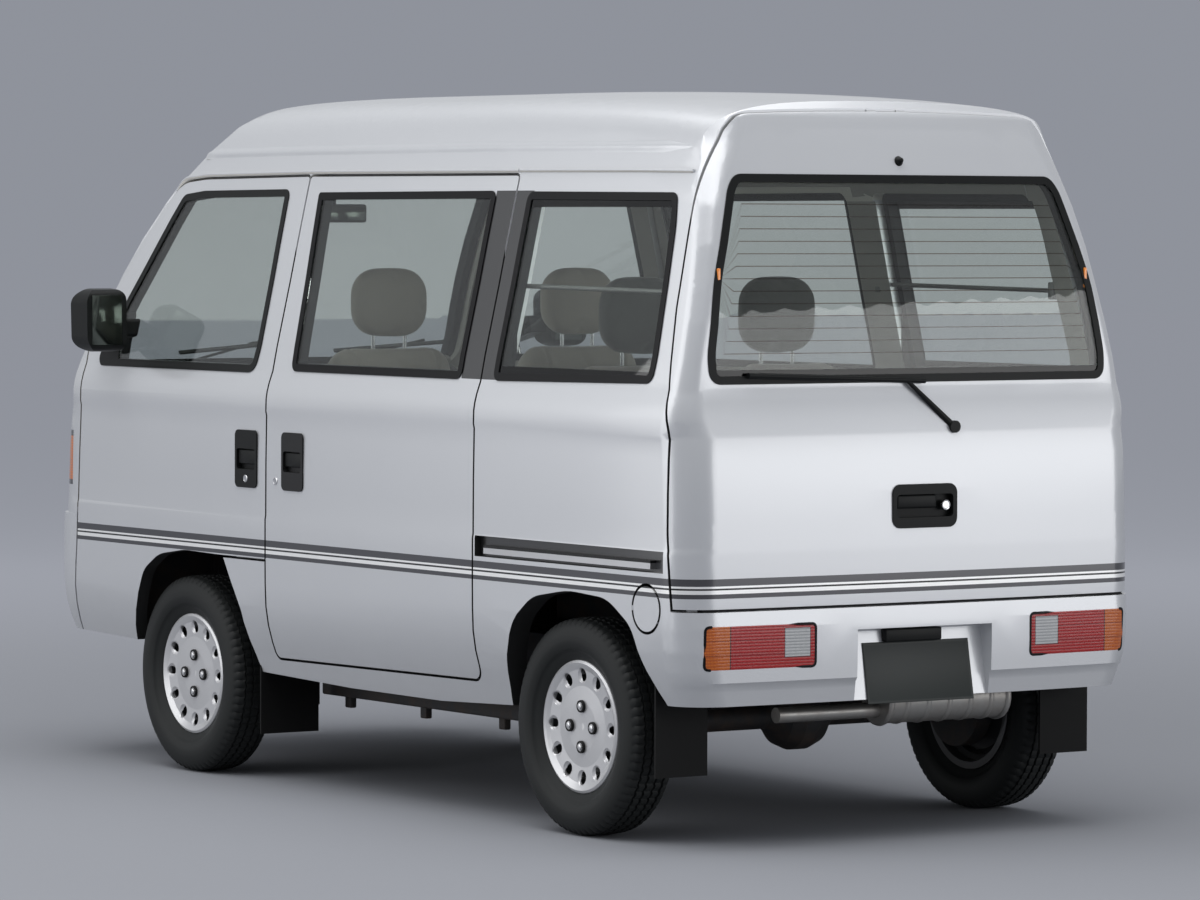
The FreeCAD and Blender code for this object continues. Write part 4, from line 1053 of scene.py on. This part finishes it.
def build_seat(kind, x0, x1, y, base, foot, top, rest_top, lean, cloth, rest_cloth, rest_middle):
    """Pads, pins and frame of one left-hand seat, inside its plain solid."""
    reach = lean * (top - base) / 0.6
    pad(kind + "_cushion", (x0 + 0.012, y + 0.012, base + 0.012),
        (x1 - 0.012, foot + 0.006, base + 0.086), 0.034, 0.014, cloth, channels=0.120)
    pad(kind + "_back", (x0 + 0.020, foot + 0.014, base + 0.075),
        (x1 - 0.020, foot + 0.096, top - 0.006), 0.036, 0.014, cloth,
        lean=-math.atan2(reach, top - base), foot=((x0 + x1) / 2, foot + 0.05, base),
        channels=0.125, corner=0.075)
    post = foot + reach + 0.040
    pad(kind + "_rest", (rest_middle - 0.113, post - 0.036, top + 0.006),
        (rest_middle + 0.113, post + 0.034, rest_top + 0.002), 0.030, 0.012, rest_cloth,
        corner=0.070)
    for side in (-0.05, 0.05):
        turned(pins, [(-0.030, 0.0055), (0.045, 0.0055)], (rest_middle + side, post, top - 0.004),
               (0, 0, 1), 14)
    block(frames, (x0 + 0.03, y + 0.03, base + 0.0003), (x1 - 0.03, foot + 0.05, base + 0.022),
          0.006)
    block(frames, (x1 - 0.024, foot - 0.02, base + 0.0003), (x1 - 0.006, foot + 0.07, base + 0.11),
          0.004)


build_seat("front_seat", x0=0.085, x1=0.525, y=-0.900, base=0.660, foot=-0.470, top=1.190,
           rest_top=1.375, lean=0.110, cloth=front_cloth, rest_cloth=front_cloth,
           rest_middle=0.305)
build_seat("rear_seat", x0=0.048, x1=0.452, y=0.190, base=0.640, foot=0.600, top=1.165,
           rest_top=1.362, lean=0.095, cloth=rear_cloth, rest_cloth=dark_cloth, rest_middle=0.215)
for piece, *_ in pads:
    cloth = piece.modifiers.new("stuffing", "CLOTH")
    cloth.settings.use_pressure = True
    cloth.settings.uniform_pressure_force = 4.0
    cloth.settings.effector_weights.gravity = 0.0
    cloth.settings.quality = 4
    cloth.point_cache.frame_start = 1
    cloth.point_cache.frame_end = STUFFING_STEPS
for step in range(1, STUFFING_STEPS + 1):
    scene.frame_set(step)
graph = bpy.context.evaluated_depsgraph_get()
for piece, rest, cap, *_ in pads:
    filled = [v.co.copy() for v in piece.evaluated_get(graph).data.vertices]
    piece.modifiers.clear()
    for vertex, start, end in zip(piece.data.vertices, rest, filled):
        move = end - start
        if move.length > cap:
            move *= cap / move.length
        vertex.co = start + move
scene.frame_set(1)
for piece, rest, cap, middle, channels in pads:
    finer = piece.modifiers.new("finer", "SUBSURF")
    finer.levels = finer.render_levels = 1
    mesh = apply_modifiers(piece)
    if channels:
        normals = [n.vector.copy() for n in mesh.vertex_normals]
        for vertex, normal in zip(mesh.vertices, normals):
            off = abs(abs(vertex.co.x - middle) - channels)
            if off < SEAM_HALF and abs(normal.x) < 0.6:
                vertex.co -= normal * SEAM_DEPTH * math.exp(-(off / SEAM_WIDTH) ** 2)
    mesh.shade_smooth()
for piece, *_ in pads:
    bm = bmesh.new()
    bm.from_mesh(piece.data)
    mirror_x(bm)
    pair = new_mesh(piece.name + "s", bm, piece.data.materials[0], sharp=70.0)
    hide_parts(piece.name[:piece.name.rindex("_")] + "s")
    bpy.data.objects.remove(piece)
for name, bm, finish in (("restraint_pins", pins, chrome), ("seat_frames", frames, plastic)):
    mirror_x(bm)
    new_mesh(name, bm, finish)


# Dashboard: a moulded plastic shelf across the cabin, with a hooded instrument cowl and a black
# radio let into it, a plastic rimmed steering wheel, and a gear lever on the floor in the middle.
dress(grained("dash_plastic", (0.085, 0.080, 0.072), 0.5, 900.0), "dashboard")
dress(grained("wheel_rim", (0.030, 0.029, 0.027), 0.45, 900.0), "steering_wheel")
trim_plastic = grained("trim_plastic", (0.120, 0.112, 0.100), 0.55, 900.0)
new_block("instrument_hood", (-0.455, -1.345, 1.040), (-0.145, -1.200, 1.118), 0.018, trim_plastic)
bm = bmesh.new()
block(bm, (-0.430, -1.2005, 1.052), (-0.170, -1.1975, 1.104), 0.001, 2)
block(bm, (-0.085, -1.1960, 0.800), (0.085, -1.1850, 0.930), 0.003, 2)
new_mesh("dials_and_radio", bm, metal_like("dial_black", (0.010, 0.010, 0.011), 0.12, coat=1.0))
bm = bmesh.new()
turned(bm, [(0.0, 0.045), (0.02, 0.040), (0.05, 0.014), (0.10, 0.008), (0.19, 0.006),
            (0.195, 0.014), (0.21, 0.019), (0.235, 0.019), (0.246, 0.012), (0.248, 0.0)],
       (-0.02, -0.965, 0.660), (0, -0.25, 1), 24)
new_mesh("gear_lever", bm, plastic, sharp=50.0)

# Over the windscreen: two padded vinyl sun visors folded up against the headlining, and a mirror
# on a short stalk between them.
new_block("sun_visors", (0.12, -1.120, 1.600), (0.42, -0.985, 1.614), 0.006,
          cloth_weave("visor_vinyl", (0.42, 0.39, 0.34), (0.46, 0.43, 0.38)), side=0)
bm = bmesh.new()
block(bm, (-0.105, -1.125, 1.500), (0.105, -1.108, 1.552), 0.008)
turned(bm, [(0.0, 0.005), (0.060, 0.005)], (0, -1.118, 1.550), (0, 0.1, 1), 12)
new_mesh("inside_mirror", bm, plastic)
new_block("inside_mirror_glass", (-0.098, -1.1085, 1.506), (0.098, -1.1068, 1.546), 0.0006,
          silvered, segments=2)

# Guard bars: a painted steel tube across each rear side window, clamped at either end by a block
# that is screwed to the pillar.
BAR_SIDE, BAR_FRONT, BAR_LENGTH, BAR_RADIUS = 0.572, 0.690, 0.750, 0.006
bm = bmesh.new()
turned(bm, [(0.0, 0.0), (0.0, BAR_RADIUS), (BAR_LENGTH, BAR_RADIUS), (BAR_LENGTH, 0.0)],
       (BAR_SIDE, BAR_FRONT, 1.344), (0, 1, -0.012), 14)
for y, z in ((0.700, 1.344), (1.425, 1.335)):
    block(bm, (0.562, y - 0.02, z - 0.022), (0.586, y + 0.004, z + 0.022), 0.004)
mirror_x(bm)
new_mesh("guard_bars", bm, metal_like("bar_paint", (0.16, 0.16, 0.155), 0.35, 0.3, 0.3))

# Door linings: an armrest, a low pocket and a window winder of moulded plastic, screwed to the
# inside of each front door.
for door, side in DOORS:
    bm = bmesh.new()
    block(bm, (side * 0.650, -1.00, 0.760), (side * 0.615, -0.56, 0.815), 0.012)
    block(bm, (side * 0.655, -1.20, 0.640), (side * 0.628, -0.50, 0.720), 0.010)
    turned(bm, [(0.0, 0.018), (0.012, 0.018), (0.016, 0.012), (0.016, 0.0)],
           (side * 0.655, -0.72, 0.885), (-side, 0, 0), 20)
    block(bm, (side * 0.642, -0.735, 0.820), (side * 0.634, -0.715, 0.890), 0.003)
    new_mesh("door_armrest_" + door, bm, trim_plastic, body="front_door_" + door)

# Underbody: a painted steel guard over the pipes under each side of the floor, between the axles,
# on four brackets.
bm = bmesh.new()
block(bm, (0.385, -0.470, 0.2250), (0.435, 0.800, 0.2700), 0.006)
for y in (-0.36, 0.02, 0.40, 0.72):
    block(bm, (0.400, y - 0.015, 0.1950), (0.420, y + 0.015, 0.3000), 0.004)
mirror_x(bm)
new_mesh("pipe_guards", bm, chassis)

low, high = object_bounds()
